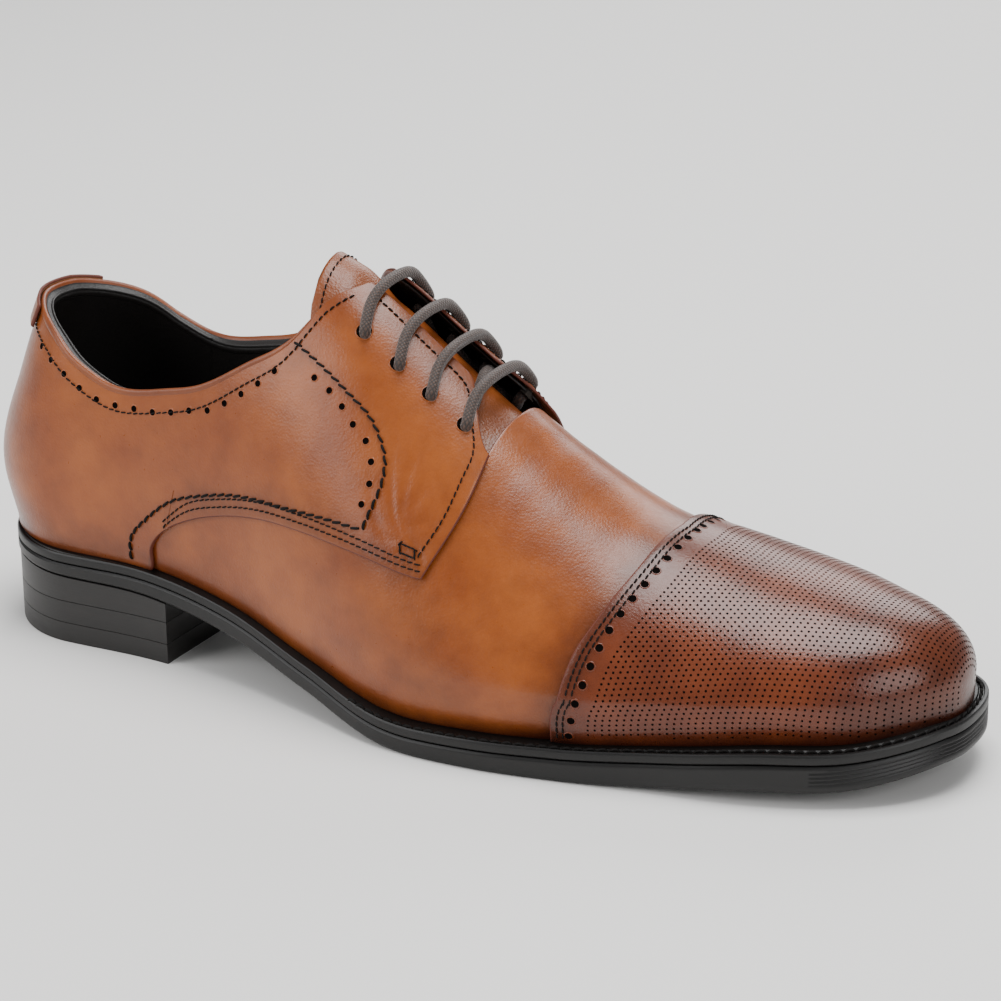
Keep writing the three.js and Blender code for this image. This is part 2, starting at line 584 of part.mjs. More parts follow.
/** Point of the lace over (or under) the facings. */
function lacePoint(place, side, girth, inset) {
  const x = place * LENGTH;
  return upperPoint(x, side, girth, inset - facingLift(x, girth));
}

/** The lace goes out (1) or in (-1) through a hole: points on both sides of the leather. */
function throughHole(index, side, way) {
  const { point, out } = holeFrame(EYELETS[index], side);
  const line = [0.5 - UNDER, -2.3, 0.1, -1 - OVER].map(
    (depth) => point.clone().addScaledVector(out, depth));
  return way > 0 ? line : line.reverse();
}

/** Straight bar across the gap, from one side's hole to the other's. */
function bar(index, from) {
  const place = EYELETS[index];
  const over = (side, girth, more) => lacePoint(place, side, girth, OVER - more);
  return [
    ...throughHole(index, from, 1),
    over(from, EYELET_GIRTH + 0.08, 0.6), over(from, FACING_GIRTH, 0.4),
    over(-from, FACING_GIRTH, 0.4), over(-from, EYELET_GIRTH + 0.08, 0.6),
    ...throughHole(index, -from, -1)];
}

/** Run under the facing, along one side from hole to hole. */
const sideRun = (from, to, side, girth) => [0.25, 0.5, 0.75].map(
  (t) => lacePoint(mix(EYELETS[from], EYELETS[to], t), side, girth, UNDER));
const diagonal = [[0.2, -1, 1.8], [0.42, -1, 1.95], [0.58, 1, 1.95], [0.8, 1, 1.8]].map(
  ([t, side, girth]) => lacePoint(mix(EYELETS[3], EYELETS[2], t), side, girth, UNDER));
const heldRoute = [
  ...bar(1, -1), ...sideRun(1, 3, 1, 1.6),
  ...bar(3, 1), ...diagonal,
  ...bar(2, 1), ...sideRun(2, 0, -1, 1.81),
  ...bar(0, -1)];

/** Point of the lace where it lies on the sock liner. */
const onSock = (x, y, raised = 0) => new THREE.Vector3(
  x, y, soleTop(x) + sockFloor + SOCK_LINER + LACE_RADIUS + FIT + LACE_GAP + raised);
const lateralTail = [
  lacePoint(0.468, -1, 1.68, UNDER), lacePoint(0.472, -1, 1.6, UNDER),
  lacePoint(0.478, -1, 1.5, UNDER + 0.4), lacePoint(0.482, -1, 1.4, UNDER + 1.2),
  lacePoint(0.484, -1, 1.25, UNDER + 1.5), lacePoint(0.486, -1, 1.08, UNDER + 1.8),
  lacePoint(0.492, -1, 0.7, UNDER + 2), onSock(153, -36), onSock(166, -33),
  onSock(182, -30), onSock(200, -26), onSock(217, -20, 0.5), onSock(232, -15, 1.5)];
const medialTail = [
  lacePoint(0.432, 1, 1.68, UNDER), lacePoint(0.436, 1, 1.6, UNDER),
  lacePoint(0.442, 1, 1.5, UNDER + 0.4), lacePoint(0.446, 1, 1.4, UNDER + 1.2),
  lacePoint(0.45, 1, 1.25, UNDER + 1.5), lacePoint(0.452, 1, 1.08, UNDER + 1.8),
  lacePoint(0.46, 1, 0.7, UNDER + 2), onSock(148, 22), onSock(160, 20),
  onSock(176, 21), onSock(194, 22), onSock(210, 20, 0.5), onSock(226, 14, 1.5)];

/** Round cord along a route. */
function cord(route, radius, stepLength) {
  const path = new THREE.CatmullRomCurve3(route, false, 'centripetal');
  const section = new THREE.Shape(Array.from({ length: 8 }, (_, i) => new THREE.Vector2(
    radius * Math.cos(Math.PI * i / 4), radius * Math.sin(Math.PI * i / 4))));
  const steps = Math.round(path.getLength() / stepLength);
  return new THREE.ExtrudeGeometry(section, { steps, extrudePath: path, bevelEnabled: false });
}

/** Crimped plastic tip in line with the end of a tail. */
function aglet(route) {
  const tip = route[route.length - 1];
  const along3 = tip.clone().sub(route[route.length - 2]).normalize();
  const middle = tip.clone().addScaledVector(along3, FIT + AGLET[0] / 2);
  const turn = new THREE.Quaternion().setFromUnitVectors(new THREE.Vector3(0, 1, 0), along3);
  return new THREE.CylinderGeometry(AGLET[1], AGLET[1], AGLET[0], 12)
    .applyQuaternion(turn).translate(middle.x, middle.y, middle.z);
}

// ---------------------------------------------------------------- assembly
const shoe = new THREE.Group();
const add = (name, geometry, color, roughness, metalness = 0) => {
  const mesh = new THREE.Mesh(geometry, new THREE.MeshStandardMaterial({ color, roughness, metalness }));
  mesh.name = name;
  shoe.add(mesh);
};

const cork = 0xa67b50;
const stiffener = 0xc9b79c;
const cotton = 0x6b5a50;
const acetate = 0x4a3c33;
add('outsole', outsole, rubber, 0.55);
add('welt', welt, rubber, 0.5);
add('heel_upper_lift', upperLift, rubber, 0.5);
add('heel_lower_lift', lowerLift, rubber, 0.5);
add('heel_top_piece', topPiece, rubber, 0.7);
NAILS.forEach((spot, i) => add(`heel_nail_${i + 1}`, nailAt(spot), 0x9a9a9c, 0.35, 1));
add('shank', shank, 0x8d9094, 0.4, 1);
add('cork_filler', corkFiller, cork, 0.95);
add('heel_seat_filler', heelSeat, cork, 0.95);
add('insole_board', insoleBoard, 0xb28a62, 0.9);
add('sock_liner', sockLiner, liningLeather, 0.75);
add('heel_counter', counter, stiffener, 0.9);
add('toe_puff', toePuff, stiffener, 0.9);
add('heel_grip', heelGrip, liningLeather, 0.9);
add('vamp_lining', vampLining, liningLeather, 0.8);
add('vamp', vamp, leather, 0.38);
add('toe_cap', toeCap, capLeather, 0.34);
add('heel_tab', heelTab, leather, 0.4);
add('tongue', tongue, leather, 0.42);
add('tongue_lining', tongueLining, liningLeather, 0.8);
for (const [label, side] of [['lateral', -1], ['medial', 1]]) {
  const frames = holes(side);
  add(`quarter_${label}`, punched(quarter(side), frames, EYELET_BORE + LACE_GAP), leather, 0.38);
  add(`quarter_lining_${label}`, quarterLining(side), liningLeather, 0.8);
  add(`facing_stay_${label}`,
    punched(facingStay(side), frames, EYELET_BORE + EYELET_WALL + FIT), liningLeather, 0.8);
  frames.forEach((frame, i) => add(`eyelet_${label}_${i + 1}`, eyelet(frame), 0x6f6a62, 0.35, 1));
}
add('lace', cord(heldRoute, LACE_RADIUS, 4), cotton, 0.8);
add('lace_tail_lateral', cord(lateralTail, LACE_RADIUS, 7), cotton, 0.8);
add('lace_tail_medial', cord(medialTail, LACE_RADIUS, 7), cotton, 0.8);
add('aglet_lateral', aglet(lateralTail), acetate, 0.4);
add('aglet_medial', aglet(medialTail), acetate, 0.4);

// The frame's origin is under the middle of the shoe's box, on the ground.
const box = new THREE.Box3().setFromObject(shoe);
const middle = box.getCenter(new THREE.Vector3());
shoe.position.set(-middle.x, -middle.y, -box.min.z);

export default shoe;
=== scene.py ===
"""Leather lace-up shoe with a perforated toe cap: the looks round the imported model."""

import math

import bmesh
import bpy
import numpy as np
from mathutils import Matrix, Vector


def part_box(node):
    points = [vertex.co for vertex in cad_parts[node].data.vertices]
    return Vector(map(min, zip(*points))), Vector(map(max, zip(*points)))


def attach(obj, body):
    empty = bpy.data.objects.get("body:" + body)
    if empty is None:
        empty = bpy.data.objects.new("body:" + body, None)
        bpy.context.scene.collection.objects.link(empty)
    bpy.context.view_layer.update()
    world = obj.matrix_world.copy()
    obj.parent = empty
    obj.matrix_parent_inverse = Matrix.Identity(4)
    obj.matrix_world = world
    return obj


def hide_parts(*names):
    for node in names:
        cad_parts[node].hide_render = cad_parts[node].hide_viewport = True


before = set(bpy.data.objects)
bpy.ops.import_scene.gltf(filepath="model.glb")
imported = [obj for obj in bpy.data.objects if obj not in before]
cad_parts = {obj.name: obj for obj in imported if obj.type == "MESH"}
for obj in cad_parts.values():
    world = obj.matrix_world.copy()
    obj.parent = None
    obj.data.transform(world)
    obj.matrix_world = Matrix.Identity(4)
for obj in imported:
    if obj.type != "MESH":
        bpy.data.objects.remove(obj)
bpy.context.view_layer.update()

# ---------------------------------------------------------------- the last
# Every piece of the upper is pulled over one last while it is damp, so each is a patch of one
# surface at its own depth. Places are in millimetres from the back of the sole, and the frame
# gives where that is: the first heel nail stands 12 mm in front of it, on the centre line.
MM = 0.001
FIRST_NAIL = 12.0
nail_low, nail_high = (np.array(corner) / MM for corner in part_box("heel_nail_1"))
ORIGIN = np.array([(nail_low[0] + nail_high[0]) / 2 - FIRST_NAIL, (nail_low[1] + nail_high[1]) / 2, 0])
sole_low, sole_high = (np.array(corner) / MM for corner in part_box("outsole"))
LENGTH = sole_high[0] - sole_low[0]
STATIONS = np.array([0, 0.1, 0.2, 0.3, 0.4, 0.5, 0.6, 0.68, 0.77, 0.85, 0.93, 0.99]) * LENGTH
LATERAL = [28.5, 30, 30.5, 34.5, 42, 50, 50.5, 47.5, 42.5, 39, 36, 34]
MEDIAL = [30, 30.5, 29.5, 28, 30, 35.5, 42, 45.5, 45.5, 42, 37.5, 37]
CENTRE = [0, 0, 0, 0, -0.5, -0.5, 0, 1.5, 3.5, 4.5, 5, 6]
WALL = [16, 16, 16, 17, 18, 17, 14.5, 13, 12, 10.5, 9, 8]
CROWN = [82.5, 85.5, 89, 90, 85.5, 71.5, 52, 38, 28.7, 22.3, 18.2, 16]
ROUNDNESS = [1.6, 1.6, 1.6, 1.6, 1.6, 1.42, 1.35, 1.35, 1.45, 1.6, 1.9, 1.9]
SOLE_MARGIN = [2.5, 2, 1, 0.5, 0.5, 1.8, 2.3, 2.8, 4.2, 5.4, 5.2, 4.5]
SOLE_EDGE = [7, 7.2, 7.7, 8.2, 8.1, 8.2, 8.8, 9.6, 10.2, 10.8, 11, 10.3]
HEEL_RISE = [1, 0.945, 0.9, 0.673, 0.327, 0.03, 0, 0, 0, 0, 0, 0]
TOE_RISE = [0, 0, 0, 0, 0, 0, 0, 0, 0.2, 0.46, 0.57, 1]
BACK_CURVE = [(0, 2.3), (18, -1.2), (45, 6.2), (66, 13.5), (90, 23)]
HEEL_HEIGHT = 22.0
TOE_SPRING = 9.1
FIT = 0.3
HEEL_ROUND = 30.0
TOE_ROUND, TOE_POWER = 63.0, 2.12
CROWN_ROUND = 22.5
BACK, FRONT = -1.5, LENGTH - 4
BACK_FADE = 80.0
SEAT_ROUND = 2.7
TUCK = 0.06
FACING_LIFT = 2.0
LIFT_BACK = 0.37 * LENGTH, 0.45 * LENGTH
LIFT_FRONT = 0.54 * LENGTH, 0.58 * LENGTH
LIFT_GIRTHS = 1.35, 1.75
SIDES = (("lateral", -1), ("medial", 1))


def curve(pairs, at):
    """Smooth curve through (position, value) pairs, flat beyond both ends: cubic pieces whose slope at
    a pair is the mean of the slopes beside it, each weighted with the other's span."""
    places, values = np.array(pairs, float).T
    at = np.clip(at, places[0], places[-1])
    span = np.diff(places)
    slope = np.diff(values) / span
    inner = (slope[:-1] * span[1:] + slope[1:] * span[:-1]) / (span[1:] + span[:-1])
    tangent = np.concatenate([slope[:1], inner, slope[-1:]])
    i = np.clip(np.searchsorted(places, at) - 1, 0, len(span) - 1)
    t = (at - places[i]) / span[i]
    rise = t * t * (3 - 2 * t)
    bend = tangent[i] * t * (1 - t) ** 2 - tangent[i + 1] * t * t * (1 - t)
    return values[i] * (1 - rise) + values[i + 1] * rise + span[i] * bend


def along(values, x):
    """Value at x of one of the last's curves."""
    return curve(list(zip(STATIONS, values)), x)


def ease(a, b, x):
    """0 before a, 1 after b, smooth between: 3t^2 - 2t^3."""
    t = np.clip((x - a) / (b - a), 0, 1)
    return t * t * (3 - 2 * t)


def round_end(distance, radius, power):
    """Round end of a width: 0 at the end itself, 1 from the radius inwards, a superellipse between."""
    t = np.clip(1 - distance / radius, 0, None)
    return np.clip(1 - t ** power, 0, None) ** (1 / power)


def sole_bottom(x):
    """Height of the sole's underside at x."""
    return np.maximum(0, HEEL_HEIGHT * along(HEEL_RISE, x) + TOE_SPRING * along(TOE_RISE, x))


def sole_top(x):
    """Height of the welt's top at x."""
    return sole_bottom(x) + along(SOLE_EDGE, x)


def girth_of(around):
    """Girth, 0 at the sole edge and 2 on the ridge, of a place round the last."""
    return np.minimum(around, 4 - around)


def around_at(side, girth):
    """Place round the last of a girth on one side: negative for lateral, else medial."""
    return np.where(side < 0, girth, 4 - girth)


def facing_lift(x, girth):
    """Millimetres that the facings stand up over the tongue and the lace."""
    return FACING_LIFT * (ease(*LIFT_BACK, x) - ease(*LIFT_FRONT, x)) * ease(*LIFT_GIRTHS, girth)


def last_point(x, around, inset=0.0):
    """Points of the last's surface, moved inwards by inset. around is 0 at the lateral sole edge, 1 at the
    widest line, 2 on the ridge of the instep, 3 at the medial widest line and 4 at the medial sole edge.
    The wall is upright up to 1, and above it the section is a superellipse with a sine rise."""
    x, around, inset = np.broadcast_arrays(*(np.asarray(v, float) for v in (x, around, inset)))
    side = np.where(around < 2, -1, 1)
    girth = girth_of(around)
    wall = np.clip(girth, 0, 1)
    arch = np.sin(np.clip(girth - 1, 0, 1) * np.pi / 2)
    crown = (along(CROWN, x) - inset) * round_end(FRONT - x, CROWN_ROUND, 2)
    z = sole_top(x) + FIT + along(WALL, x) * np.minimum(girth, 1) + crown * arch
    over = np.sqrt(np.clip(1 - arch ** along(ROUNDNESS, x), 0, None))
    bulge = np.where(girth <= 1, 1 - TUCK * (1 - wall) ** 2, over)
    half = np.where(side < 0, along(LATERAL, x), along(MEDIAL, x)) - inset
    ends = round_end(x - BACK, HEEL_ROUND, 2) * round_end(FRONT - x, TOE_ROUND, TOE_POWER)
    placed = BACK + inset + (x - BACK) * (FRONT - BACK - 2 * inset) / (FRONT - BACK)
    fade = np.clip(1 - x / BACK_FADE, 0, 1)
    lean = curve(BACK_CURVE, z - sole_top(0) - FIT - SEAT_ROUND) * fade * fade * (3 - 2 * fade)
    return np.stack([placed + lean, along(CENTRE, x) + side * half * ends * bulge, z], axis=-1)


def facing_point(x, around, inset=0.0):
    """As last_point, for the pieces of the lacing area, which take the facings' lift."""
    return last_point(x, around, inset - facing_lift(x, girth_of(around)))


# ---------------------------------------------------------------- floor, camera and light
# A plain pale floor, one big soft light over the shoe, a weaker one from the left and a rim light
# from behind. The camera stands to the front left of the lateral side, a little above the shoe.
AIM = np.array([150.0, 0.0, 50.0])
DISTANCE = 954.0
AZIMUTH, ELEVATION, ROLL = (math.radians(angle) for angle in (29.45, 21.23, -0.76))
FOCAL_LENGTH = 122.6
SHIFT = (0.0304, 0.0151)


def srgb(colour):
    """Linear red, green, blue and alpha of an sRGB hex colour such as 0xC4814F."""
    parts = np.array([(colour >> shift) & 255 for shift in (16, 8, 0)]) / 255
    linear = np.where(parts <= 0.04045, parts / 12.92, ((parts + 0.055) / 1.055) ** 2.4)
    return (*(float(part) for part in linear), 1.0)


def node(material, kind, links=(), **settings):
    """Adds a shader node. settings are its properties, or its inputs' values by name with _ for a space,
    or i0, i1 for an input by number. links are (input, node, output) of what feeds it."""
    made = material.node_tree.nodes.new("ShaderNode" + kind)
    for key, value in settings.items():
        if hasattr(made, key):
            setattr(made, key, value)
        elif key[0] == "i" and key[1:].isdigit():
            made.inputs[int(key[1:])].default_value = value
        else:
            made.inputs[key.replace("_", " ")].default_value = value
    for target, source, output in links:
        material.node_tree.links.new(source.outputs[output], made.inputs[target])
    return made


def new_material(name):
    """Empty node material and its output node."""
    material = bpy.data.materials.new(name)
    material.use_nodes = True
    material.node_tree.nodes.clear()
    return material


def surface(material, links=(), **settings):
    """Ends a material with a Principled shader."""
    shader = node(material, "BsdfPrincipled", links, **settings)
    node(material, "OutputMaterial", [("Surface", shader, "BSDF")])
    return material


# Matt painted board, which throws almost no pattern back.
floor_paint = surface(new_material("painted_board"), Base_Color=srgb(0xE9E8E6), Roughness=0.85)
bpy.ops.mesh.primitive_plane_add(size=8)
floor = bpy.context.object
floor.name = "floor"
floor.data.materials.append(floor_paint)


def soft_light(name, place, aim, size, power, colour=0xFFFFFF):
    """Square area light at a place, in metres, turned towards a point."""
    lamp = bpy.data.lights.new(name, "AREA")
    lamp.size = size
    lamp.energy = power
    lamp.color = srgb(colour)[:3]
    holder = bpy.data.objects.new(name, lamp)
    bpy.context.collection.objects.link(holder)
    holder.location = place
    direction = Vector(aim) - Vector(place)
    holder.rotation_euler = direction.to_track_quat("-Z", "Y").to_euler()


soft_light("overhead", (0.1, 0.1, 1.3), (0.0, 0.0, 0.03), 0.8, 22)
soft_light("left_window", (-0.9, -0.9, 0.7), (0.0, 0.0, 0.04), 0.9, 11)
soft_light("toe_side", (1.1, -0.5, 0.6), (0.05, 0.0, 0.03), 0.7, 6)
soft_light("behind", (-0.2, 1.2, 0.8), (0.0, 0.0, 0.05), 0.8, 9)
world = bpy.data.worlds.new("studio")
world.use_nodes = True
world.node_tree.nodes["Background"].inputs["Color"].default_value = srgb(0xF4F5F7)
world.node_tree.nodes["Background"].inputs["Strength"].default_value = 0.36
bpy.context.scene.world = world

back = np.array([math.sin(AZIMUTH) * math.cos(ELEVATION), -math.cos(AZIMUTH) * math.cos(ELEVATION),
                 math.sin(ELEVATION)])
level = np.array([math.cos(AZIMUTH), math.sin(AZIMUTH), 0])
upright = np.cross(back, level)
right = math.cos(ROLL) * level + math.sin(ROLL) * upright
upward = math.cos(ROLL) * upright - math.sin(ROLL) * level
lens = bpy.data.cameras.new("camera")
lens.lens = FOCAL_LENGTH
lens.shift_x, lens.shift_y = SHIFT
camera = bpy.data.objects.new("camera", lens)
bpy.context.collection.objects.link(camera)
placed = (AIM + ORIGIN + DISTANCE * back) * MM
camera.matrix_world = Matrix([[*map(float, row), float(at)] for row, at in zip(
    np.stack([right, upward, back], axis=1), placed)] + [[0, 0, 0, 1]])
bpy.context.scene.camera = camera

# ---------------------------------------------------------------- laces
# One round waxed cotton lace, 3.2 mm thick, drawn straight across through four pairs of holes.
# Its two ends go inside the shoe and lie on the sock liner, each with its crimped tip.
LACE_RADIUS = 1.6
# How deep the two faces of each layer of the upper lie: calf outside, vamp in the middle, kid inside.
OUTER = (-1.2, -0.2)
MIDDLE = (0.4, 1.4)
INNER = (2.0, 2.7)
SHEET = 0.5
UNDER = MIDDLE[1] + FIT + 0.1 + SHEET + LACE_RADIUS + 0.2
OVER = OUTER[0] - LACE_RADIUS - 0.2
HOLES = np.array([0.431, 0.467, 0.5, 0.535]) * LENGTH
HOLE_GIRTH = 1.7
FACING_GIRTH = 1.88
# Girth and extra depth on the way from under the facing down the inside of the shoe.
WAY_DOWN = [(1.68, 0), (1.6, 0), (1.5, 0.4), (1.4, 1.2), (1.25, 1.5), (1.08, 1.8), (0.7, 2)]
TIP_LENGTH = 18.0
GLUE_LINE, BOARD, SOCK = 0.6, 2, 1.2
SOCK_TOP = GLUE_LINE + BOARD + SOCK


def distance_along(path):
    """Length of a path from its first point to each of its points."""
    return np.concatenate([[0], np.cumsum(np.linalg.norm(np.diff(path, axis=0), axis=1))])


def unit(vectors):
    """The same directions, each one millimetre long."""
    return vectors / np.linalg.norm(vectors, axis=-1, keepdims=True)


def lace_point(x, side, girth, inset):
    """Point of the lace over or under a facing; side is -1 for lateral and 1 for medial."""
    return facing_point(x, around_at(side, girth), inset)


def through_hole(index, side, way):
    """Four points along a hole's own axis, outwards (1) or inwards (-1)."""
    x = HOLES[index]
    at = lace_point(x, side, HOLE_GIRTH, 0)
    lengthwise = lace_point(x + 1, side, HOLE_GIRTH, 0) - lace_point(x - 1, side, HOLE_GIRTH, 0)
    climbing = lace_point(x, side, HOLE_GIRTH + 0.02, 0) - lace_point(x, side, HOLE_GIRTH - 0.02, 0)
    out = unit(-side * np.cross(lengthwise, climbing))
    line = [at + out * depth for depth in (0.5 - UNDER, -2.3, 0.1, -1 - OVER)]
    return line if way > 0 else line[::-1]


def bar(index, start):
    """Straight bar across the gap, from one side's hole to the other's."""
    x = HOLES[index]
    crossing = [(start, HOLE_GIRTH + 0.08, 0.6), (start, FACING_GIRTH, 0.4),
                (-start, FACING_GIRTH, 0.4), (-start, HOLE_GIRTH + 0.08, 0.6)]
    return [*through_hole(index, start, 1),
            *(lace_point(x, side, girth, OVER - more) for side, girth, more in crossing),
            *through_hole(index, -start, -1)]


def side_run(first, last, side, girth):
    """Run under one facing, from hole to hole."""
    return [lace_point(HOLES[first] + (HOLES[last] - HOLES[first]) * t, side, girth, UNDER)
            for t in (0.25, 0.5, 0.75)]


def down_inside(side, shares):
    """Run of a free end from its hole down the side, at shares of the length."""
    return [lace_point(share * LENGTH, side, girth, UNDER + deeper)
            for share, (girth, deeper) in zip(shares, WAY_DOWN)]


def on_sock(x, y, raised=0.0):
    """Point of the lace where it lies on the sock liner."""
    return np.array([x, y, float(sole_top(x)) + SOCK_TOP + LACE_RADIUS + FIT + 0.2 + raised])


crossing_run = [lace_point(HOLES[3] + (HOLES[2] - HOLES[3]) * t, side, girth, UNDER)
                for t, side, girth in ((0.2, -1, 1.8), (0.42, -1, 1.95), (0.58, 1, 1.95), (0.8, 1, 1.8))]
held_route = [*bar(1, -1), *side_run(1, 3, 1, 1.6), *bar(3, 1), *crossing_run,
              *bar(2, 1), *side_run(2, 0, -1, 1.81), *bar(0, -1)]
lateral_tail = [
    *down_inside(-1, (0.468, 0.472, 0.478, 0.482, 0.484, 0.486, 0.492)),
    on_sock(153, -36), on_sock(166, -33), on_sock(182, -30), on_sock(200, -26),
    on_sock(217, -20, 0.5), on_sock(232, -15, 1.5)]
medial_tail = [
    *down_inside(1, (0.432, 0.436, 0.442, 0.446, 0.45, 0.452, 0.46)),
    on_sock(148, 22), on_sock(160, 20), on_sock(176, 21), on_sock(194, 22),
    on_sock(210, 20, 0.5), on_sock(226, 14, 1.5)]


def smooth_route(points, step):
    """Centripetal Catmull-Rom curve through points, with a place about every step: between two points it
    blends the straight lines of four neighbours, whose knots lie the root of their distance apart."""
    points = np.array(points)
    ends = 2 * points[[0, -1]] - points[[1, -2]]
    p = np.concatenate([ends[:1], points, ends[1:]])
    gap = np.linalg.norm(np.diff(p, axis=0), axis=1)
    knot = np.concatenate([[0], np.cumsum(np.sqrt(gap))])
    rows = []
    for i in range(1, len(p) - 2):
        count = max(2, math.ceil(gap[i] / step))
        t = np.linspace(knot[i], knot[i + 1], count, endpoint=i == len(p) - 3)[:, None]
        level = list(p[i - 1:i + 3])
        for order in (1, 2, 3):
            reach = [(i - 1 + k, i - 1 + k + order) for k in range(4 - order)]
            if order == 3:
                reach = [(i, i + 1)]
            level = [level[k] * (knot[b] - t) / (knot[b] - knot[a])
                     + level[k + 1] * (t - knot[a]) / (knot[b] - knot[a]) for k, (a, b) in enumerate(reach)]
        rows.append(level[0])
    return np.concatenate(rows)


def build(name, points, faces, material, body="shoe", uv=None, smooth=True, slot=None, stands_for=()):
    """Mesh object from points in the last's millimetres and faces as rows of point numbers, -1 where a face
    is a triangle. material is one, or a pair: a list of them, and which of them each face has. uv is one
    pair per point."""
    materials, numbers = material if isinstance(material, tuple) else ([material], None)
    points = (np.asarray(points).reshape(-1, 3) + ORIGIN) * MM
    faces = np.asarray(faces)
    sizes = (faces >= 0).sum(axis=1)
    corners = faces[faces >= 0]
    mesh = bpy.data.meshes.new(name)
    mesh.vertices.add(len(points))
    mesh.vertices.foreach_set("co", points.ravel())
    mesh.loops.add(len(corners))
    mesh.loops.foreach_set("vertex_index", corners.astype(np.int32))
    mesh.polygons.add(len(faces))
    starts = np.concatenate([[0], np.cumsum(sizes)[:-1]])
    mesh.polygons.foreach_set("loop_start", starts.astype(np.int32))
    mesh.polygons.foreach_set("use_smooth", np.full(len(faces), smooth))
    for entry in materials:
        mesh.materials.append(entry)
    if numbers is not None:
        mesh.polygons.foreach_set("material_index", np.asarray(numbers, np.int32))
    if uv is not None:
        layer = mesh.uv_layers.new(name="millimetres")
        layer.data.foreach_set("uv", np.asarray(uv, float).reshape(-1, 2)[corners].ravel())
    mesh.update(calc_edges=True)
    mesh.validate()
    piece = bpy.data.objects.new(name, mesh)
    bpy.context.collection.objects.link(piece)
    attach(piece, body)
    if stands_for:
        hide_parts(*stands_for)
    return piece


def grid_faces(rows, columns, wrap=False):
    """Quads of a grid of points stored row by row; wrap joins the last column to the first."""
    i, j = np.meshgrid(np.arange(rows - 1), np.arange(columns if wrap else columns - 1), indexing="ij")
    k = (j + 1) % columns
    return np.stack([i * columns + j, i * columns + k, (i + 1) * columns + k, (i + 1) * columns + j],
                    axis=-1).reshape(-1, 4)


def capped_faces(count, sides):
    """Faces over count rings of points, with a fan of triangles at each end to a middle point. The two
    middle points come after the rings' own."""
    j = np.arange(sides)
    k = (j + 1) % sides
    blank = np.full(sides, -1)
    last_ring = (count - 1) * sides
    first = np.stack([np.full(sides, count * sides), k, j, blank], axis=1)
    final = np.stack([np.full(sides, count * sides + 1), last_ring + j, last_ring + k, blank], axis=1)
    return np.concatenate([grid_faces(count, sides, wrap=True), first, final])


def turned_over(faces):
    """The same quads and triangles, seen from their other side."""
    return np.where(faces[:, 3:] < 0, faces[:, [0, 2, 1, 3]], faces[:, ::-1])


def outwards(points, faces):
    """Faces of a closed skin, turned over if they look inwards."""
    a, b, c = (points[faces[:, k]] for k in (0, 1, 2))
    return turned_over(faces) if np.einsum("ij,ij->", a, np.cross(b, c)) < 0 else faces


def tube(route, radii, sides=16):
    """Round skin along a route: rings at right angles to it, turned as little as possible from one to the
    next, closed at both ends with a point. Gives points, faces and uv in millimetres."""
    route = np.asarray(route)
    tangent = unit(np.gradient(route, axis=0))
    side = np.cross(tangent[0], (0.3, 0.2, 1.0))
    frames = []
    for direction in tangent:
        side = side - direction * (side @ direction)
        side = side / np.linalg.norm(side)
        frames.append(side)
    across = np.array(frames)
    up = np.cross(tangent, across)
    turn = np.linspace(0, 2 * np.pi, sides, endpoint=False)
    radii = np.broadcast_to(radii, len(route))[:, None, None]
    rings = route[:, None] + radii * (np.cos(turn)[:, None] * across[:, None]
                                      + np.sin(turn)[:, None] * up[:, None])
    points = np.concatenate([rings.reshape(-1, 3), route[[0, -1]]])
    uv = np.broadcast_arrays(distance_along(route)[:, None], turn / (2 * np.pi))
    uv = np.stack(uv, axis=-1).reshape(-1, 2)
    return points, capped_faces(len(route), sides), np.concatenate([uv, uv[[0, -1]]])


def waxed_cotton():
    """Braided cotton, waxed: fine slanting strands with dark gaps of painted shade between them, a dull
    sheen and a little fluff lost.
    """
    material = new_material("waxed_cotton_braid")
    place = node(material, "TexCoord")
    # A strand crosses the braid every 1.1 mm, and eight lie round it.
    stretched = node(material, "Mapping", [("Vector", place, "UV")], Scale=(1 / 1.1, 8, 1))
    split = node(material, "SeparateXYZ", [("Vector", stretched, "Vector")])
    slant = node(material, "Math", [(0, split, "X"), (1, split, "Y")], operation="ADD")
    counter_slant = node(material, "Math", [(0, split, "X"), (1, split, "Y")], operation="SUBTRACT")
    waves = []
    for source in (slant, counter_slant):
        turned = node(material, "Math", [(0, source, "Value")], operation="MULTIPLY", i1=math.pi)
        wave = node(material, "Math", [(0, turned, "Value")], operation="SINE")
        waves.append(node(material, "Math", [(0, wave, "Value")], operation="ABSOLUTE"))
    braid = node(material, "Math", [(0, waves[0], "Value"), (1, waves[1], "Value")], operation="MULTIPLY")
    fluff = node(material, "TexNoise", [("Vector", place, "Object")], Scale=900.0, Detail=3.0)
    mixed = node(material, "Math", [(0, braid, "Value"), (1, fluff, "Fac")], operation="MULTIPLY")
    # The colour goes darkest in the gaps between strands: painted shade.
    colour = node(material, "ValToRGB", [("Fac", mixed, "Value")])
    colour.color_ramp.elements[0].color = srgb(0x1A100C)
    colour.color_ramp.elements[1].color = srgb(0x4C3528)
    colour.color_ramp.elements[0].position = 0.02
    colour.color_ramp.elements[1].position = 0.5
    relief = node(material, "Bump", [("Height", mixed, "Value")], Strength=0.6, Distance=0.0004)
    return surface(material, [("Base Color", colour, "Color"), ("Normal", relief, "Normal")],
                   Roughness=0.62, Sheen_Weight=0.25)


lace_cotton = waxed_cotton()
held = smooth_route(held_route, 0.8)
points, faces, uv = tube(held, LACE_RADIUS)
build("lace_laced", points, faces, lace_cotton, uv=uv, slot="lace_cord", stands_for=["lace"])

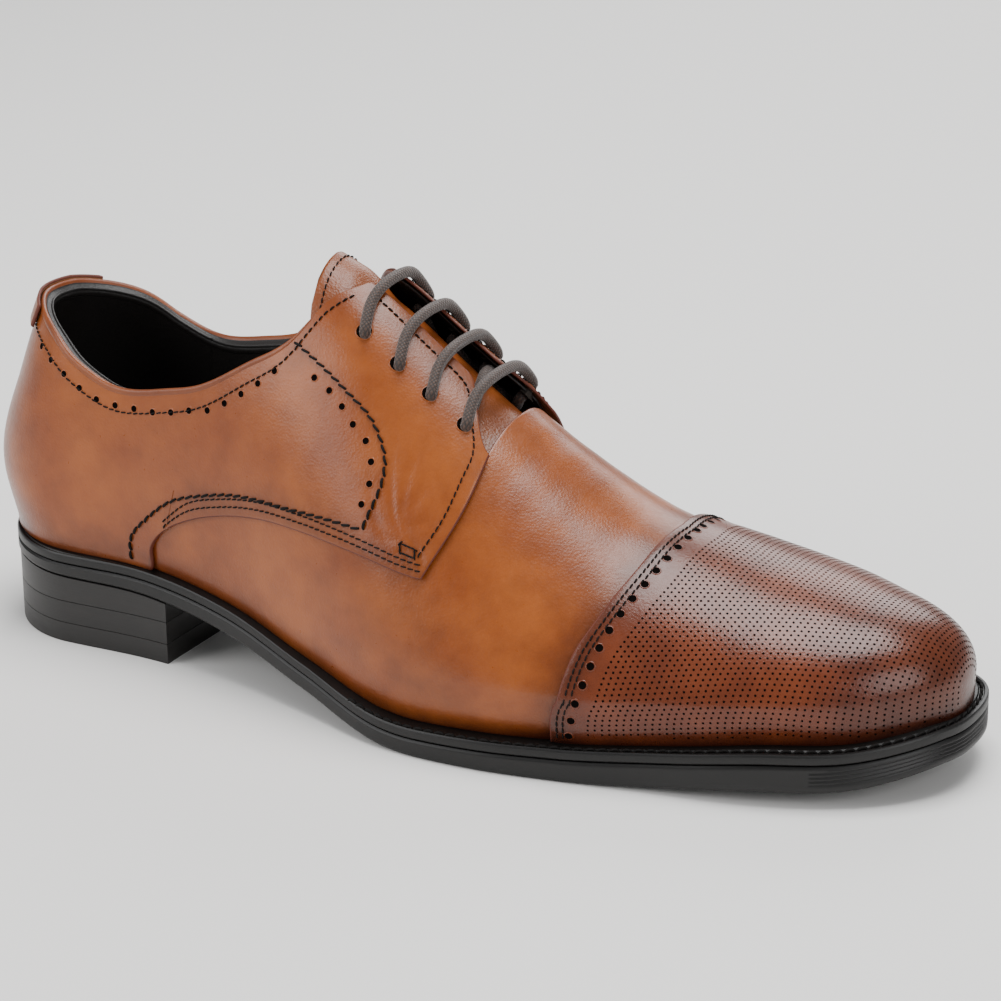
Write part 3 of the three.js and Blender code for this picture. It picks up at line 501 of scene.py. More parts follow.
# Clear brown plastic crimped on the end of the lace.
tip_plastic = surface(new_material("crimped_acetate"), Base_Color=srgb(0x4A3C33), Roughness=0.25,
                      Coat_Weight=0.3)
for (side_name, _), tail in zip(SIDES, (lateral_tail, medial_tail)):
    path = smooth_route(tail, 1.0)
    points, faces, uv = tube(path, LACE_RADIUS, 12)
    loose = build(f"lace_end_{side_name}", points, faces, lace_cotton, uv=uv, slot="lace_cord",
                  stands_for=[f"lace_tail_{side_name}"])
    direction = unit(tail[-1] - tail[-2])
    reach = np.array([-1.0, -0.6, 0.2, 1.0, 1.6, 16.4, 17.2, TIP_LENGTH]) + FIT
    width = np.array([1.65, 1.75, 1.8, 1.7, 1.6, 1.55, 1.4, 0.9])
    points, faces, uv = tube(tail[-1] + reach[:, None] * direction, width, 12)
    tip = build(f"lace_tip_{side_name}", points, faces, tip_plastic, slot="lace_tip",
                stands_for=[f"aglet_{side_name}"])

# ---------------------------------------------------------------- vamp
# The front of the upper in box calf: it runs back under both quarters to the heel counter, and
# forwards under the toe cap. It is lasted wet, tacked under the insole and burnished by hand.
CAP_LAP = 9.0
CAP_SEAM = [(0, 0.664), (1, 0.674), (1.1, 0.677), (1.22, 0.682), (1.33, 0.69), (1.47, 0.699),
            (1.62, 0.707), (1.79, 0.711), (2, 0.715)]
WING = [(0, 0.17), (0.3, 0.172), (0.9, 0.187), (1.15, 0.22), (1.24, 0.263), (1.28, 0.303),
        (1.33, 0.363), (1.37, 0.423), (1.41, 0.477), (1.44, 0.533), (1.5, 0.556), (2, 0.56)]
# A cut edge is round: its places lie at these turns between the skin and the flesh side.
EDGE_TURNS = (0.25 * math.pi, 0.5 * math.pi, 0.75 * math.pi)


def cap_seam(girth):
    """Place of the toe cap's back edge at a girth."""
    return curve(CAP_SEAM, girth) * LENGTH


def spread(v):
    """Rows from one sole edge over the ridge to the other: few on the upright walls, most on the arch."""
    return np.interp(v, [0, 0.12, 0.88, 1], [0, 1, 3, 4])


def unevenness(x, around):
    """A hand-lasted skin is never quite fair: three slow waves, 0.05 mm high together, that die out at
    both ends of the last, where its two sides meet."""
    waves = (0.02 * np.sin(x / 11 + 2 * around) + 0.012 * np.sin(x / 7 - 5 * around)
             + 0.018 * np.sin(x / 17 + 7 * around))
    return waves * ease(0, 8, x - BACK) * ease(0, 8, FRONT - x)


def rim(columns, rows, closed):
    """Numbers of the points round the edge of a grid, and for each the nearest point inside it. When
    closed, the last column belongs to the inside."""
    number = np.arange(columns * rows).reshape(columns, rows)
    if closed:
        loop = [number[::-1, -1], number[0, -2:0:-1], number[:, 0]]
    else:
        loop = [number[:-1, 0], number[-1, :-1], number[:0:-1, -1], number[0, :0:-1]]
    loop = np.concatenate(loop)
    last_inside = columns - 1 if closed else columns - 2
    inner = np.clip(np.arange(columns), 1, last_inside), np.clip(np.arange(rows), 1, rows - 2)
    return loop, number[np.ix_(*inner)].ravel()[loop]


def panel(name, patch, counts, layer, materials, lifted=False, relief=None, burnish_and_shade=None, drop=None,
          closed=False, even=True, **facts):
    """Piece of leather cut to a pattern and pulled over the last. patch(u, v) gives place and girth round
    the last over a grid of the unit square. The skin lies at layer[0] plus relief, the flesh side at
    layer[1], and a half-round cut edge joins them all round. A closed panel has none at its front end,
    where its two sides meet. The darkening argument is 0 to 1 per point, for the material: burnishing
    and painted shade together."""
    columns, rows = counts
    u, v = np.meshgrid(np.linspace(0, 1, columns), np.linspace(0, 1, rows), indexing="ij")
    x, around = patch(u, v)
    lift = facing_lift(x, girth_of(around)) if lifted else 0
    sunk = 0 if drop is None else drop(x)
    raised = unevenness(x, around) if even else 0
    if relief is not None:
        raised = raised + relief(x, around)
    skin = last_point(x, around, layer[0] - lift + sunk - raised).reshape(-1, 3)
    flesh = last_point(x, around, layer[1] - lift + sunk).reshape(-1, 3)
    loop, next_inside = rim(columns, rows, closed)
    start, finish = skin[loop], flesh[loop]
    out = start - skin[next_inside]
    out /= np.maximum(np.linalg.norm(out, axis=1, keepdims=True), 1e-6)
    half = (start - finish) / 2
    reach = 0.8 * np.linalg.norm(half, axis=1, keepdims=True)
    bands = [(start + finish) / 2 + half * math.cos(turn) + out * reach * math.sin(turn)
             for turn in EDGE_TURNS]
    points = np.concatenate([skin, flesh, *bands])
    count = columns * rows
    skin_faces = grid_faces(columns, rows)
    band_numbers = 2 * count + np.arange(len(EDGE_TURNS) * len(loop))
    strip = np.concatenate([loop, band_numbers, count + loop])
    edge_faces = strip[grid_faces(len(EDGE_TURNS) + 2, len(loop), wrap=not closed)]
    faces = outwards(points, np.concatenate([skin_faces, skin_faces[:, ::-1] + count, edge_faces]))
    numbers = np.repeat([0, 2, 1], [len(skin_faces), len(skin_faces), len(edge_faces)])
    uv = np.stack([x, around * 40], axis=-1).reshape(-1, 2)
    uv = np.concatenate([uv, uv, *[uv[loop]] * len(EDGE_TURNS)])
    piece = build(name, points, faces, (materials, numbers), uv=uv, **facts)
    shade = np.zeros((columns, rows)) if burnish_and_shade is None else np.clip(burnish_and_shade(x, around), 0, 1)
    shade = np.broadcast_to(shade, (columns, rows)).ravel()
    layer_made = piece.data.attributes.new("burnish_and_shade", "FLOAT", "POINT")
    layer_made.data.foreach_set("value", np.concatenate([shade, shade, *[shade[loop]] * len(EDGE_TURNS)]))
    if closed:
        shell = bmesh.new()
        shell.from_mesh(piece.data)
        bmesh.ops.remove_doubles(shell, verts=shell.verts, dist=2e-6)
        shell.to_mesh(piece.data)
        shell.free()
    return piece


def calf(name, light, middle, dark, roughness=0.32, grain=0.3):
    """Box calf, aniline dyed and waxed. Colour drifts over centimetres as the dye took, burnishing and
    painted shade draw it towards the dark tone, and pores of 0.7 mm break the gloss, which a thin wax coat
    keeps high."""
    material = new_material(name)
    place = node(material, "TexCoord")
    cloud = node(material, "TexNoise", [("Vector", place, "Object")], Scale=42.0, Detail=5.0,
                 Roughness=0.6)
    streak = node(material, "TexNoise", [("Vector", place, "Object")], Scale=130.0, Detail=4.0)
    # Per-point darkening from the panel: burnishing, and painted shade at the sole, seams and creases.
    darkening = node(material, "Attribute", attribute_name="burnish_and_shade")
    tone = node(material, "ValToRGB", [("Fac", cloud, "Fac")])
    tone.color_ramp.elements[0].position = 0.33
    tone.color_ramp.elements[0].color = srgb(middle)
    tone.color_ramp.elements[1].position = 0.66
    tone.color_ramp.elements[1].color = srgb(light)
    patchy = node(material, "Math", [(0, streak, "Fac")], operation="MULTIPLY_ADD", i1=0.7, i2=-0.35)
    depth = node(material, "Math", [(0, darkening, "Fac"), (1, patchy, "Value")], operation="ADD",
                 use_clamp=True)
    colour = node(material, "Mix", [("Factor", depth, "Value"), (6, tone, "Color")], data_type="RGBA",
                  i7=srgb(dark))
    pores = node(material, "TexVoronoi", [("Vector", place, "Object")], Scale=1400.0)
    fine = node(material, "TexNoise", [("Vector", place, "Object")], Scale=700.0, Detail=3.0)
    height = node(material, "Math", [(0, pores, "Distance"), (1, fine, "Fac")], operation="ADD")
    relief = node(material, "Bump", [("Height", height, "Value")], Strength=grain, Distance=0.00012)
    gloss = node(material, "Math", [(0, fine, "Fac")], operation="MULTIPLY_ADD", i1=0.2,
                 i2=roughness - 0.1)
    return surface(material, [("Base Color", colour, 2), ("Normal", relief, "Normal"),
                              ("Roughness", gloss, "Value")], Coat_Weight=0.1, Coat_Roughness=0.2,
                   Specular_IOR_Level=0.4)


def raw_edge(name, colour):
    """Cut edge of leather, dyed and waxed: fibres, no grain."""
    material = new_material(name)
    place = node(material, "TexCoord")
    fibre = node(material, "TexNoise", [("Vector", place, "Object")], Scale=1500.0, Detail=2.0)
    relief = node(material, "Bump", [("Height", fibre, "Fac")], Strength=0.4, Distance=0.0002)
    return surface(material, [("Normal", relief, "Normal")], Base_Color=srgb(colour), Roughness=0.6)


# Warm tan calf, darker where the cream gathers and where shade is painted at the sole, seams and
# creases. Its cut edge is stained and waxed, and its flesh side is left pale and fibrous.
tan_calf = calf("tan_box_calf", 0x97501F, 0x7E3C12, 0x421A08)
tan_edge = raw_edge("waxed_cut_edge", 0x5A2412)
flesh_side = raw_edge("flesh_side", 0xA77A55)
TAN_LAYERS = [tan_calf, tan_edge, flesh_side]


def vamp_patch(u, v):
    """From the hidden wing edge, or the throat, to the lap under the cap, from one side to the other."""
    around = spread(v)
    girth = girth_of(around)
    start = np.interp(girth, *np.array(WING).T) * LENGTH
    return start + (cap_seam(girth) + CAP_LAP - start) * u, around


def vamp_shade_and_mottle(x, around):
    """Painted shade at the sole, along the cap's seam, beside the quarters, and in a band over the joint
    where it creases, with a random mottle.
    """
    girth = girth_of(around)
    seam = np.exp(-((cap_seam(girth) - x) / 7) ** 2)
    low = np.exp(-(girth / 0.35) ** 2)
    joint = np.exp(-((x - 150 - 22 * np.sin(girth * 1.6)) / 16) ** 2) * ease(0.2, 0.9, girth)
    cloudy = 0.5 + 0.5 * np.sin(x / 13 + 3 * around)
    return 0.5 * seam + 0.55 * low + 0.4 * joint * cloudy + 0.12 * cloudy


def vamp_creases(x, around):
    """Faint walking creases across the joint: a fan of shallow furrows, 0.08 mm deep."""
    over = np.exp(-((x - 178) / 16) ** 2) * np.exp(-((around - 2) / 0.75) ** 2)
    return -0.04 * over * (1 + np.sin((x - 6 * np.cos(3 * around)) / 1.5))


panel("vamp_calf", vamp_patch, (150, 200), MIDDLE, TAN_LAYERS,
      relief=vamp_creases, burnish_and_shade=vamp_shade_and_mottle, slot="tan_leather", stands_for=["vamp"])

# ---------------------------------------------------------------- quarters
# The two sides of the upper, sewn on top of the vamp: they start at the back seam, run up to the
# topline and end in the facings, whose bottom corners stay open.
TOPLINE = [(0, 68), (0.06, 63), (0.107, 57), (0.17, 52.1), (0.228, 55.8), (0.263, 59.9),
           (0.32, 72.6), (0.365, 84.9), (0.39, 96), (0.418, 101)]
FACING_TOP, FACING_FOOT = 0.418 * LENGTH, 0.56 * LENGTH
QUARTER_LOWER = [(0.204, 0), (0.211, 0.52), (0.232, 0.98), (0.263, 1.04), (0.303, 1.08),
                 (0.363, 1.13), (0.423, 1.17), (0.477, 1.21), (0.533, 1.24)]
ARCH_FROM = 0.3
SEAM_START = BACK + 0.001
CORNER_BOW = 2.6
PULL_X, PULL_GIRTH = 153, 1.31


def girth_at(x, z):
    """Girth at which the last reaches height z."""
    widest = sole_top(x) + FIT + along(WALL, x)
    above = 1 + np.arcsin(np.clip((z - widest) / along(CROWN, x), 0, 1)) * 2 / np.pi
    return np.where(z <= widest, 1 - (widest - z) / along(WALL, x), above)


def rise(x, girth):
    """Height of the last above its seat at a girth: what girth_at turns back into a girth."""
    arch = np.sin(np.clip(girth - 1, 0, 1) * np.pi / 2)
    return along(WALL, x) * np.minimum(girth, 1) + along(CROWN, x) * arch


def topline(x):
    """Girth of the topline, and of the facing's edge in front of it."""
    rising = np.minimum(FACING_GIRTH, girth_at(x, sole_top(x) + curve(TOPLINE, x / LENGTH)))
    return np.where(x < FACING_TOP, rising, FACING_GIRTH)


def facing_edge(x):
    """Topline, and in front of it the facing's edge, which drops in a round corner at its foot."""
    return topline(x) - 0.2 * ease(0.515 * LENGTH, FACING_FOOT, x)


def quarter_patch(side):
    """Between the lower line, along the sole and up over the arch, and the upper line, topline and facing.
    The front end bows forwards as a rounded corner."""
    shares = ARCH_FROM + (1 - ARCH_FROM) * np.arange(9) / 8
    lower_x = [(0, SEAM_START), *((t, place * LENGTH) for t, (place, _) in zip(shares, QUARTER_LOWER))]
    lower_rise = [(0, 0), *((t, float(rise(place * LENGTH, girth)))
                            for t, (place, girth) in zip(shares, QUARTER_LOWER))]
    upper_x = [(0, SEAM_START), (ARCH_FROM, 0.17 * LENGTH), (0.75, FACING_TOP), (1, FACING_FOOT)]

    def patch(u, v):
        low_x = curve(lower_x, u)
        height = np.maximum(0, curve(lower_rise, u)) * (u > ARCH_FROM)
        low = np.maximum(0, girth_at(low_x, sole_top(low_x) + FIT + height))
        high_x = np.interp(u, *np.array(upper_x).T)
        high = facing_edge(high_x)
        x = low_x + (high_x - low_x) * v + CORNER_BOW * np.sin(np.pi * v) * ease(0.86, 1, u)
        return x, around_at(side, low + (high - low) * v)

    return patch


def quarter_burnish_and_shade(x, around):
    """Darker along the sole, where shade is painted, and burnished round the back, up the facing's edge and
    along the lower arch.
    """
    girth = girth_of(around)
    low = np.exp(-(girth / 0.5) ** 2)
    heel = np.exp(-(x / 16) ** 2)
    facing = np.exp(-((topline(x) - girth) / 0.16) ** 2) * ease(105, 130, x)
    arch = np.exp(-((girth - np.interp(x, *(np.array(QUARTER_LOWER) * (LENGTH, 1)).T)) / 0.07) ** 2)
    return 0.5 * low + 0.35 * heel + 0.45 * facing + 0.35 * arch * (x > 60)


def pull_creases(x, around):
    """Short creases that fan out from the bar tack where the facing pulls: furrows 0.3 mm deep."""
    dx, dy = x - PULL_X, (girth_of(around) - PULL_GIRTH) * 45
    turn = np.arctan2(dy, dx)
    reach = np.hypot(dx, dy)
    furrows = 0.5 + 0.5 * np.sin(9 * turn + 0.5 * reach)
    return -0.27 * furrows ** 3 * np.exp(-((reach - 6) / 5) ** 2) * (dy > -2)


for side_name, side in SIDES:
    panel(f"quarter_calf_{side_name}", quarter_patch(side), (220, 110), OUTER,
          TAN_LAYERS, lifted=True, relief=pull_creases, burnish_and_shade=quarter_burnish_and_shade,
          slot="tan_leather", stands_for=[f"quarter_{side_name}"])

# ---------------------------------------------------------------- toe cap
# Separate piece of the same calf, dyed darker and sewn over the front of the vamp. Its back edge
# carries two rows of stitches and a row of round holes, and the rest is pricked with fine holes.
CAP_HOLES = [(203.6, 0.02), (204.3, 0.21), (206.1, 0.79), (207.9, 1.07), (209.4, 1.19), (210.9, 1.3),
             (212.4, 1.39), (214.2, 1.49), (215.7, 1.58), (216.9, 1.69), (217.8, 1.79), (218.3, 1.9),
             (218.4, 2.0)]
CAP_HOLE_PITCH = 5.4
CAP_HOLE_RADIUS = 1.1
CAP_STITCH = 2.0
CAP_SEAMS = (1.6, 3.2)
PRICK_PITCH = 1.6
PRICKS_START = 9.8
PRICK_EDGE = 0.22
# The same calf dyed two shades darker, so that the toe looks polished by hand.
cap_calf = calf("dark_box_calf", 0x6E3318, 0x54220D, 0x2A1007, roughness=0.3)
# Waxed linen thread: black and matt, so that a stitch is a dark dash and never a glint.
thread_black = surface(new_material("waxed_thread"), Base_Color=srgb(0x0C0908), Roughness=0.75,
                       Specular_IOR_Level=0.2)
# The inside of a hole, where hardly any light comes back.
hole_dark = surface(new_material("inside_of_a_hole"), Base_Color=srgb(0x080504), Roughness=0.95,
                    Specular_IOR_Level=0.05)


def cap_patch(u, v):
    """From the seam to the point of the last, with the columns drawn together at the point."""
    around = spread(v)
    start = cap_seam(girth_of(around))
    return start + (FRONT - start) * np.sin(u * np.pi / 2), around


def cap_burnish_and_shade(x, around):
    """Darker at the point and at the seam, where the polish builds up, and along the sole, where shade is
    painted.
    """
    girth = girth_of(around)
    seam = np.exp(-((x - cap_seam(girth)) / 6) ** 2)
    return 0.35 * seam + 0.5 * np.exp(-(girth / 0.5) ** 2) + 0.45 * ease(0.86 * LENGTH, 0.99 * LENGTH, x)


def marks(controls, side, step, inset=OUTER[0], smooth=True):
    """Places every step along a line drawn on the upper through (x, girth) controls, with the line's
    direction and the outward normal at each. inset is a depth or a function of x."""
    x, girth = np.array(controls, float).T
    if smooth:
        x, height = smooth_route(np.stack([x, rise(x, girth)], axis=1), 1.5).T
        girth = girth_at(x, sole_top(x) + FIT + height)
    around = around_at(side, girth)
    depth = inset if callable(inset) else lambda x: inset
    length = distance_along(facing_point(x, around, depth(x)))

    def on_line(at):
        return np.interp(at, length, x), np.interp(at, length, around)

    def on_skin(x, around):
        return facing_point(x, around, depth(x) - unevenness(x, around))

    at = np.arange(step / 2, length[-1], step)
    here = on_line(at)
    ahead = on_skin(*on_line(at + 0.4)) - on_skin(*on_line(at - 0.4))
    lengthwise = on_skin(here[0] + 0.2, here[1]) - on_skin(here[0] - 0.2, here[1])
    girthwise = on_skin(here[0], here[1] + 0.004) - on_skin(here[0], here[1] - 0.004)
    return on_skin(*here), unit(ahead), unit(np.cross(lengthwise, girthwise))


def scatter(name, sample, places, material, **facts):
    """Copies of a small closed shape, one per place. sample is its points (forwards, left, outwards) and
    its faces; places is a list of (points, directions, normals)."""
    shape, faces = sample
    at, ahead, normal = (np.concatenate(part) for part in zip(*places))
    left = np.cross(normal, ahead)
    points = at[:, None] + sum(shape[None, :, k, None] * axis[:, None]
                               for k, axis in enumerate((ahead, left, normal)))
    every = np.arange(len(at))[:, None, None] * len(shape) + faces
    every = np.where(faces < 0, -1, every).reshape(-1, faces.shape[1])
    if isinstance(material, tuple):
        material = (material[0], np.tile(material[1], len(at)))
    return build(name, points, every, material, **facts)


def stitch_unit(length, radius, slant):
    """One stitch: a small arch of thread whose two ends sink into the leather."""
    t = np.linspace(-1, 1, 7)
    route = np.stack([t * length / 2, t * slant, radius * (1.15 - 2.4 * t ** 4)], axis=1)
    return tube(route, radius * (1 - 0.25 * t ** 2), sides=6)[:2]


def turned_unit(profile, sides):
    """Shape turned round the outward axis: profile is (radius, height) pairs from the top's centre to the
    bottom's, and both centres are single points."""
    turn = np.linspace(0, 2 * np.pi, sides, endpoint=False)
    rings = [np.stack([radius * np.cos(turn), radius * np.sin(turn), np.full(sides, height)], axis=1)
             for radius, height in profile[1:-1]]
    points = np.concatenate([*rings, [[0, 0, profile[0][1]], [0, 0, profile[-1][1]]]])
    count = len(rings) * sides
    j, k = np.arange(sides), (np.arange(sides) + 1) % sides
    blank = np.full(sides, -1)
    body = grid_faces(len(rings), sides, wrap=True)[:, ::-1]
    top = np.stack([np.full(sides, count), j, k, blank], axis=1)
    bottom = np.stack([np.full(sides, count + 1), count - sides + k, count - sides + j, blank], axis=1)
    return points, np.concatenate([top, body, bottom])


FINE_STITCH = stitch_unit(1.7, 0.24, 0.1)
HEAVY_STITCH = stitch_unit(2.8, 0.42, 0.3)
# A prick is a dark disc of painted shade, standing a hair proud of the skin.
PRICK = turned_unit([(0, 0.03), (0.36, 0.04), (0, -0.25)], 6)


def punched_holes(name, places, radius, leather, sides=14):
    """Holes with a black floor of painted shade inside a low lip of leather, which the punch pressed up."""
    profile = [(0, 0.02), (0.8 * radius, 0.02), (radius, 0.12), (radius + 0.25, 0.1),
               (radius + 0.5, -0.2), (0, -0.3)]
    points, faces = turned_unit(profile, sides)
    numbers = np.repeat([0, 1], [2 * sides, len(faces) - 2 * sides])
    scatter(name, (points, faces), places, ([hole_dark, leather], numbers))


def prick_rows():
    """Rows across the cap, each an arc of equal steps centred on the ridge, every other row moved by half
    a step, and the rows equally far apart along the ridge."""
    start = cap_seam(2.0) + PRICKS_START
    ridge_x = np.linspace(start, FRONT - 0.4, 400)
    length = distance_along(last_point(ridge_x, 2.0, OUTER[0]))
    rows = []
    for k, at in enumerate(np.arange(0, length[-1], PRICK_PITCH)):
        share = (np.interp(at, length, ridge_x) - start) / (FRONT - start)
        around = np.linspace(PRICK_EDGE, 4 - PRICK_EDGE, 500)
        first = cap_seam(girth_of(around)) + PRICKS_START
        x = first + (FRONT - first) * share
        run = distance_along(last_point(x, around, OUTER[0]))
        middle = np.interp(2.0, around, run)
        offset = middle % PRICK_PITCH + (0.5 * PRICK_PITCH if k % 2 else 0)
        places = np.arange(offset, run[-1], PRICK_PITCH)
        rows.append(np.stack([np.interp(places, run, x), np.interp(places, run, around)], axis=1))
    x, around = np.concatenate(rows).T

    def skin(x, around):
        return last_point(x, around, OUTER[0] - unevenness(x, around))

    lengthwise = unit(skin(x + 0.1, around) - skin(x - 0.1, around))
    girthwise = skin(x, around + 0.004) - skin(x, around - 0.004)
    return skin(x, around), lengthwise, unit(np.cross(lengthwise, girthwise))


panel("toe_cap_calf", cap_patch, (110, 190), OUTER, [cap_calf, *TAN_LAYERS[1:]],
      burnish_and_shade=cap_burnish_and_shade, closed=True, slot="cap_leather", stands_for=["toe_cap"])
scatter("cap_pricks", PRICK, [prick_rows()], hole_dark)
cap_rows = []
for side in (-1, 1):
    for ahead_of_seam in CAP_SEAMS:
        seam_line = [(cap_seam(girth) + ahead_of_seam, girth) for girth in np.linspace(0.12, 2, 30)]
        cap_rows.append(marks(seam_line, side, CAP_STITCH, smooth=False))
scatter("cap_stitches", FINE_STITCH, cap_rows, thread_black)
punched_holes("cap_holes", [marks(CAP_HOLES, side, CAP_HOLE_PITCH) for side in (-1, 1)],
              CAP_HOLE_RADIUS, cap_calf)

# ---------------------------------------------------------------- pattern of the quarters
# Rows of black linen thread and of punched holes: a heavy decorative stitch that frames the side,
# two fine rows that fix the quarter to the vamp, one fine row along the facing and the topline.
HEAVY_FRONT = [(140.8, 1.26), (144.2, 1.4), (143.2, 1.46), (137.5, 1.51), (128.9, 1.52), (118.7, 1.53),
               (109.3, 1.54)]
HEAVY_LOW = [(55.1, 0.11), (56.7, 0.58), (63.7, 1.01), (71.9, 1.06), (83.7, 1.1), (97.8, 1.14),
             (115.1, 1.18), (131.9, 1.23), (140.8, 1.26)]
TOPLINE_HOLES = [(10.7, 1.34), (16.7, 1.32), (23.4, 1.3), (29, 1.28), (34.5, 1.26), (41, 1.24),
                 (47.5, 1.23), (53.5, 1.23), (61.2, 1.23), (69, 1.24), (76.8, 1.26), (84.6, 1.28),
                 (91.3, 1.32), (98.1, 1.37), (104.5, 1.43), (109.3, 1.49)]
FACING_HOLES = [(115.8, 1.49), (122.3, 1.49), (127.9, 1.48), (133.2, 1.46), (137.8, 1.45),
                (140.2, 1.41), (140.5, 1.35), (138.2, 1.28)]
BAR_TACK = [(153, 1.272), (157.4, 1.279), (157, 1.3), (152.6, 1.293), (153, 1.272)]
HEAVY_PITCH, FINE_PITCH, TACK_PITCH = 3.1, 2.1, 1.1
TOPLINE_HOLE_PITCH, FACING_HOLE_PITCH = 6.6, 6.0
SIDE_HOLE_RADIUS, LACE_HOLE_RADIUS = 0.95, 2.2
heavy_rows, fine_rows, hole_rows, lace_hole_rows = [], [], [], []
for side in (-1, 1):
    heavy_rows += [marks(HEAVY_LOW, side, HEAVY_PITCH), marks(HEAVY_FRONT, side, HEAVY_PITCH)]
    lower = [(place * LENGTH, girth) for place, girth in QUARTER_LOWER[2:]]
    for above in (0.014, 0.03):
        fine_rows.append(marks([(x - 1, girth + above) for x, girth in lower], side, FINE_PITCH))
    top = [(x, float(topline(x)) - 0.05) for x in np.linspace(1, FACING_TOP - 2, 40)]
    fine_rows.append(marks(top, side, FINE_PITCH, smooth=False))
    facing = [(x, float(facing_edge(x)) - 0.045)
              for x in np.linspace(FACING_TOP + 3, FACING_FOOT - 7, 9)]
    front_edge = [(FACING_FOOT - 3.2, 1.64), (FACING_FOOT - 3.6, 1.55), (FACING_FOOT - 5.3, 1.42),
                  (0.533 * LENGTH - 1.6, 1.29)]
    fine_rows.append(marks(facing + front_edge, side, FINE_PITCH))
    fine_rows.append(marks(BAR_TACK, side, TACK_PITCH, smooth=False))
    hole_rows += [marks(TOPLINE_HOLES, side, TOPLINE_HOLE_PITCH),
                  marks(FACING_HOLES, side, FACING_HOLE_PITCH)]
    # A line one millimetre long, marked once, gives the one place of a lace hole.
    lace_hole_rows += [marks([(x - 0.5, HOLE_GIRTH), (x + 0.5, HOLE_GIRTH)], side, 1.0, smooth=False)
                       for x in HOLES]
scatter("heavy_stitches", HEAVY_STITCH, heavy_rows, thread_black)
scatter("quarter_stitches", FINE_STITCH, fine_rows, thread_black)
punched_holes("quarter_holes", hole_rows, SIDE_HOLE_RADIUS, tan_calf)
punched_holes("lace_holes", lace_hole_rows, LACE_HOLE_RADIUS, tan_calf, 20)

# ---------------------------------------------------------------- tongue
# One calf tongue with a soft grain under the laces, sewn to the vamp at its root and loose at the
# top, where it is cut round. It carries its own black lining and a row of stitches near its edge.
TONGUE_FROM, TONGUE_TO = 0.36 * LENGTH, 0.58 * LENGTH
TONGUE_DROP, FREE_DROP, ROOT_DROP = UNDER + LACE_RADIUS + 1.6, 3.4, 3.6
TONGUE_SIDE = 0.48
TONGUE_NARROWING = 0.08
TONGUE_TIP, TONGUE_TIP_ROUND = 0.45, 9.0
# Softer calf with a coarser grain and a duller gloss, and black kid that shows only as a faint sheen.
tongue_calf = calf("soft_tongue_calf", 0x8A4A20, 0x6E3512, 0x3A1808, roughness=0.38, grain=0.8)
black_lining = calf("black_lining_kid", 0x1B1715, 0x141110, 0x080606, roughness=0.5, grain=0.5)


def tongue_drop(x):
    """How far the tongue lies below the facings: least at its free end, deepest under the laces."""
    return (FREE_DROP + (TONGUE_DROP - FREE_DROP) * ease(0.385 * LENGTH, 0.42 * LENGTH, x)
            - (TONGUE_DROP - ROOT_DROP) * ease(*LIFT_FRONT, x))


def tongue_patch(trim):
    """The tongue's outline, trimmed all round: full width, with a rounded free end."""
    def patch(u, v):
        start, finish = TONGUE_FROM + trim, TONGUE_TO - trim
        x = start + (finish - start) * u
        half = TONGUE_SIDE - TONGUE_NARROWING * ease(0.5 * LENGTH, 0.58 * LENGTH, x) - 0.01 * trim
        half = half * (TONGUE_TIP + (1 - TONGUE_TIP) * round_end(x - start, TONGUE_TIP_ROUND, 2))
        return x, 2 + half * (2 * v - 1)

    return patch


panel("tongue_calf", tongue_patch(0.2), (90, 60), (0, 1), [tongue_calf, tan_edge, flesh_side],
      lifted=True, drop=tongue_drop, body="tongue", slot="tan_leather", stands_for=["tongue"])
tongue_edge = [(TONGUE_TO - 8, 1.63), (0.5 * LENGTH, 1.56), (TONGUE_FROM + 14, 1.56),
               (TONGUE_FROM + 6, 1.6), (TONGUE_FROM + 3.4, 1.74), (TONGUE_FROM + 2.6, 2)]
tongue_rows = [marks(tongue_edge, side, FINE_PITCH, inset=tongue_drop) for side in (-1, 1)]
scatter("tongue_stitches", FINE_STITCH, tongue_rows, thread_black, body="tongue")


def kid(name, patch, counts, layer, **facts):
    """Panel of the lining kid, which is black right through."""
    panel(name, patch, counts, layer, [black_lining] * 3, slot="lining_leather", **facts)


kid("tongue_lining_kid", tongue_patch(1.0), (80, 50), (1.3, 2.0), lifted=True, drop=tongue_drop,
    body="tongue", stands_for=["tongue_lining"])

# ---------------------------------------------------------------- linings
# Black kid inside the whole upper: a grip round the heel, a lining for each quarter, one for the
# vamp, and a leather stay under each facing, which the laces pull on.
SPLIT_BACK, SPLIT_FRONT = 0.15 * LENGTH, 0.37 * LENGTH
LINING_THROAT = 0.561 * LENGTH
THROAT_EDGE = [(0, SPLIT_FRONT + FIT), (1.4, SPLIT_FRONT + FIT), (1.48, LINING_THROAT), (2, LINING_THROAT)]
STAY_START, STAY_END = 0.376, 0.545
STAY_GIRTH = 1.5
FEATHER = 0.02


def grip_patch(u, v):
    """Round the heel from one side's front edge to the other's, up to the topline."""
    way = 2 * u - 1
    x = BACK + (SPLIT_BACK - BACK) * way * way
    return x, around_at(way, FEATHER + (topline(x) - FEATHER) * v)


def vamp_lining_patch(u, v):
    """Everything in front of the quarters' linings, with the throat left open."""
    around = spread(v)
    start = np.interp(girth_of(around), *np.array(THROAT_EDGE).T)
    return start + (FRONT - start) * np.sin(u * np.pi / 2), around


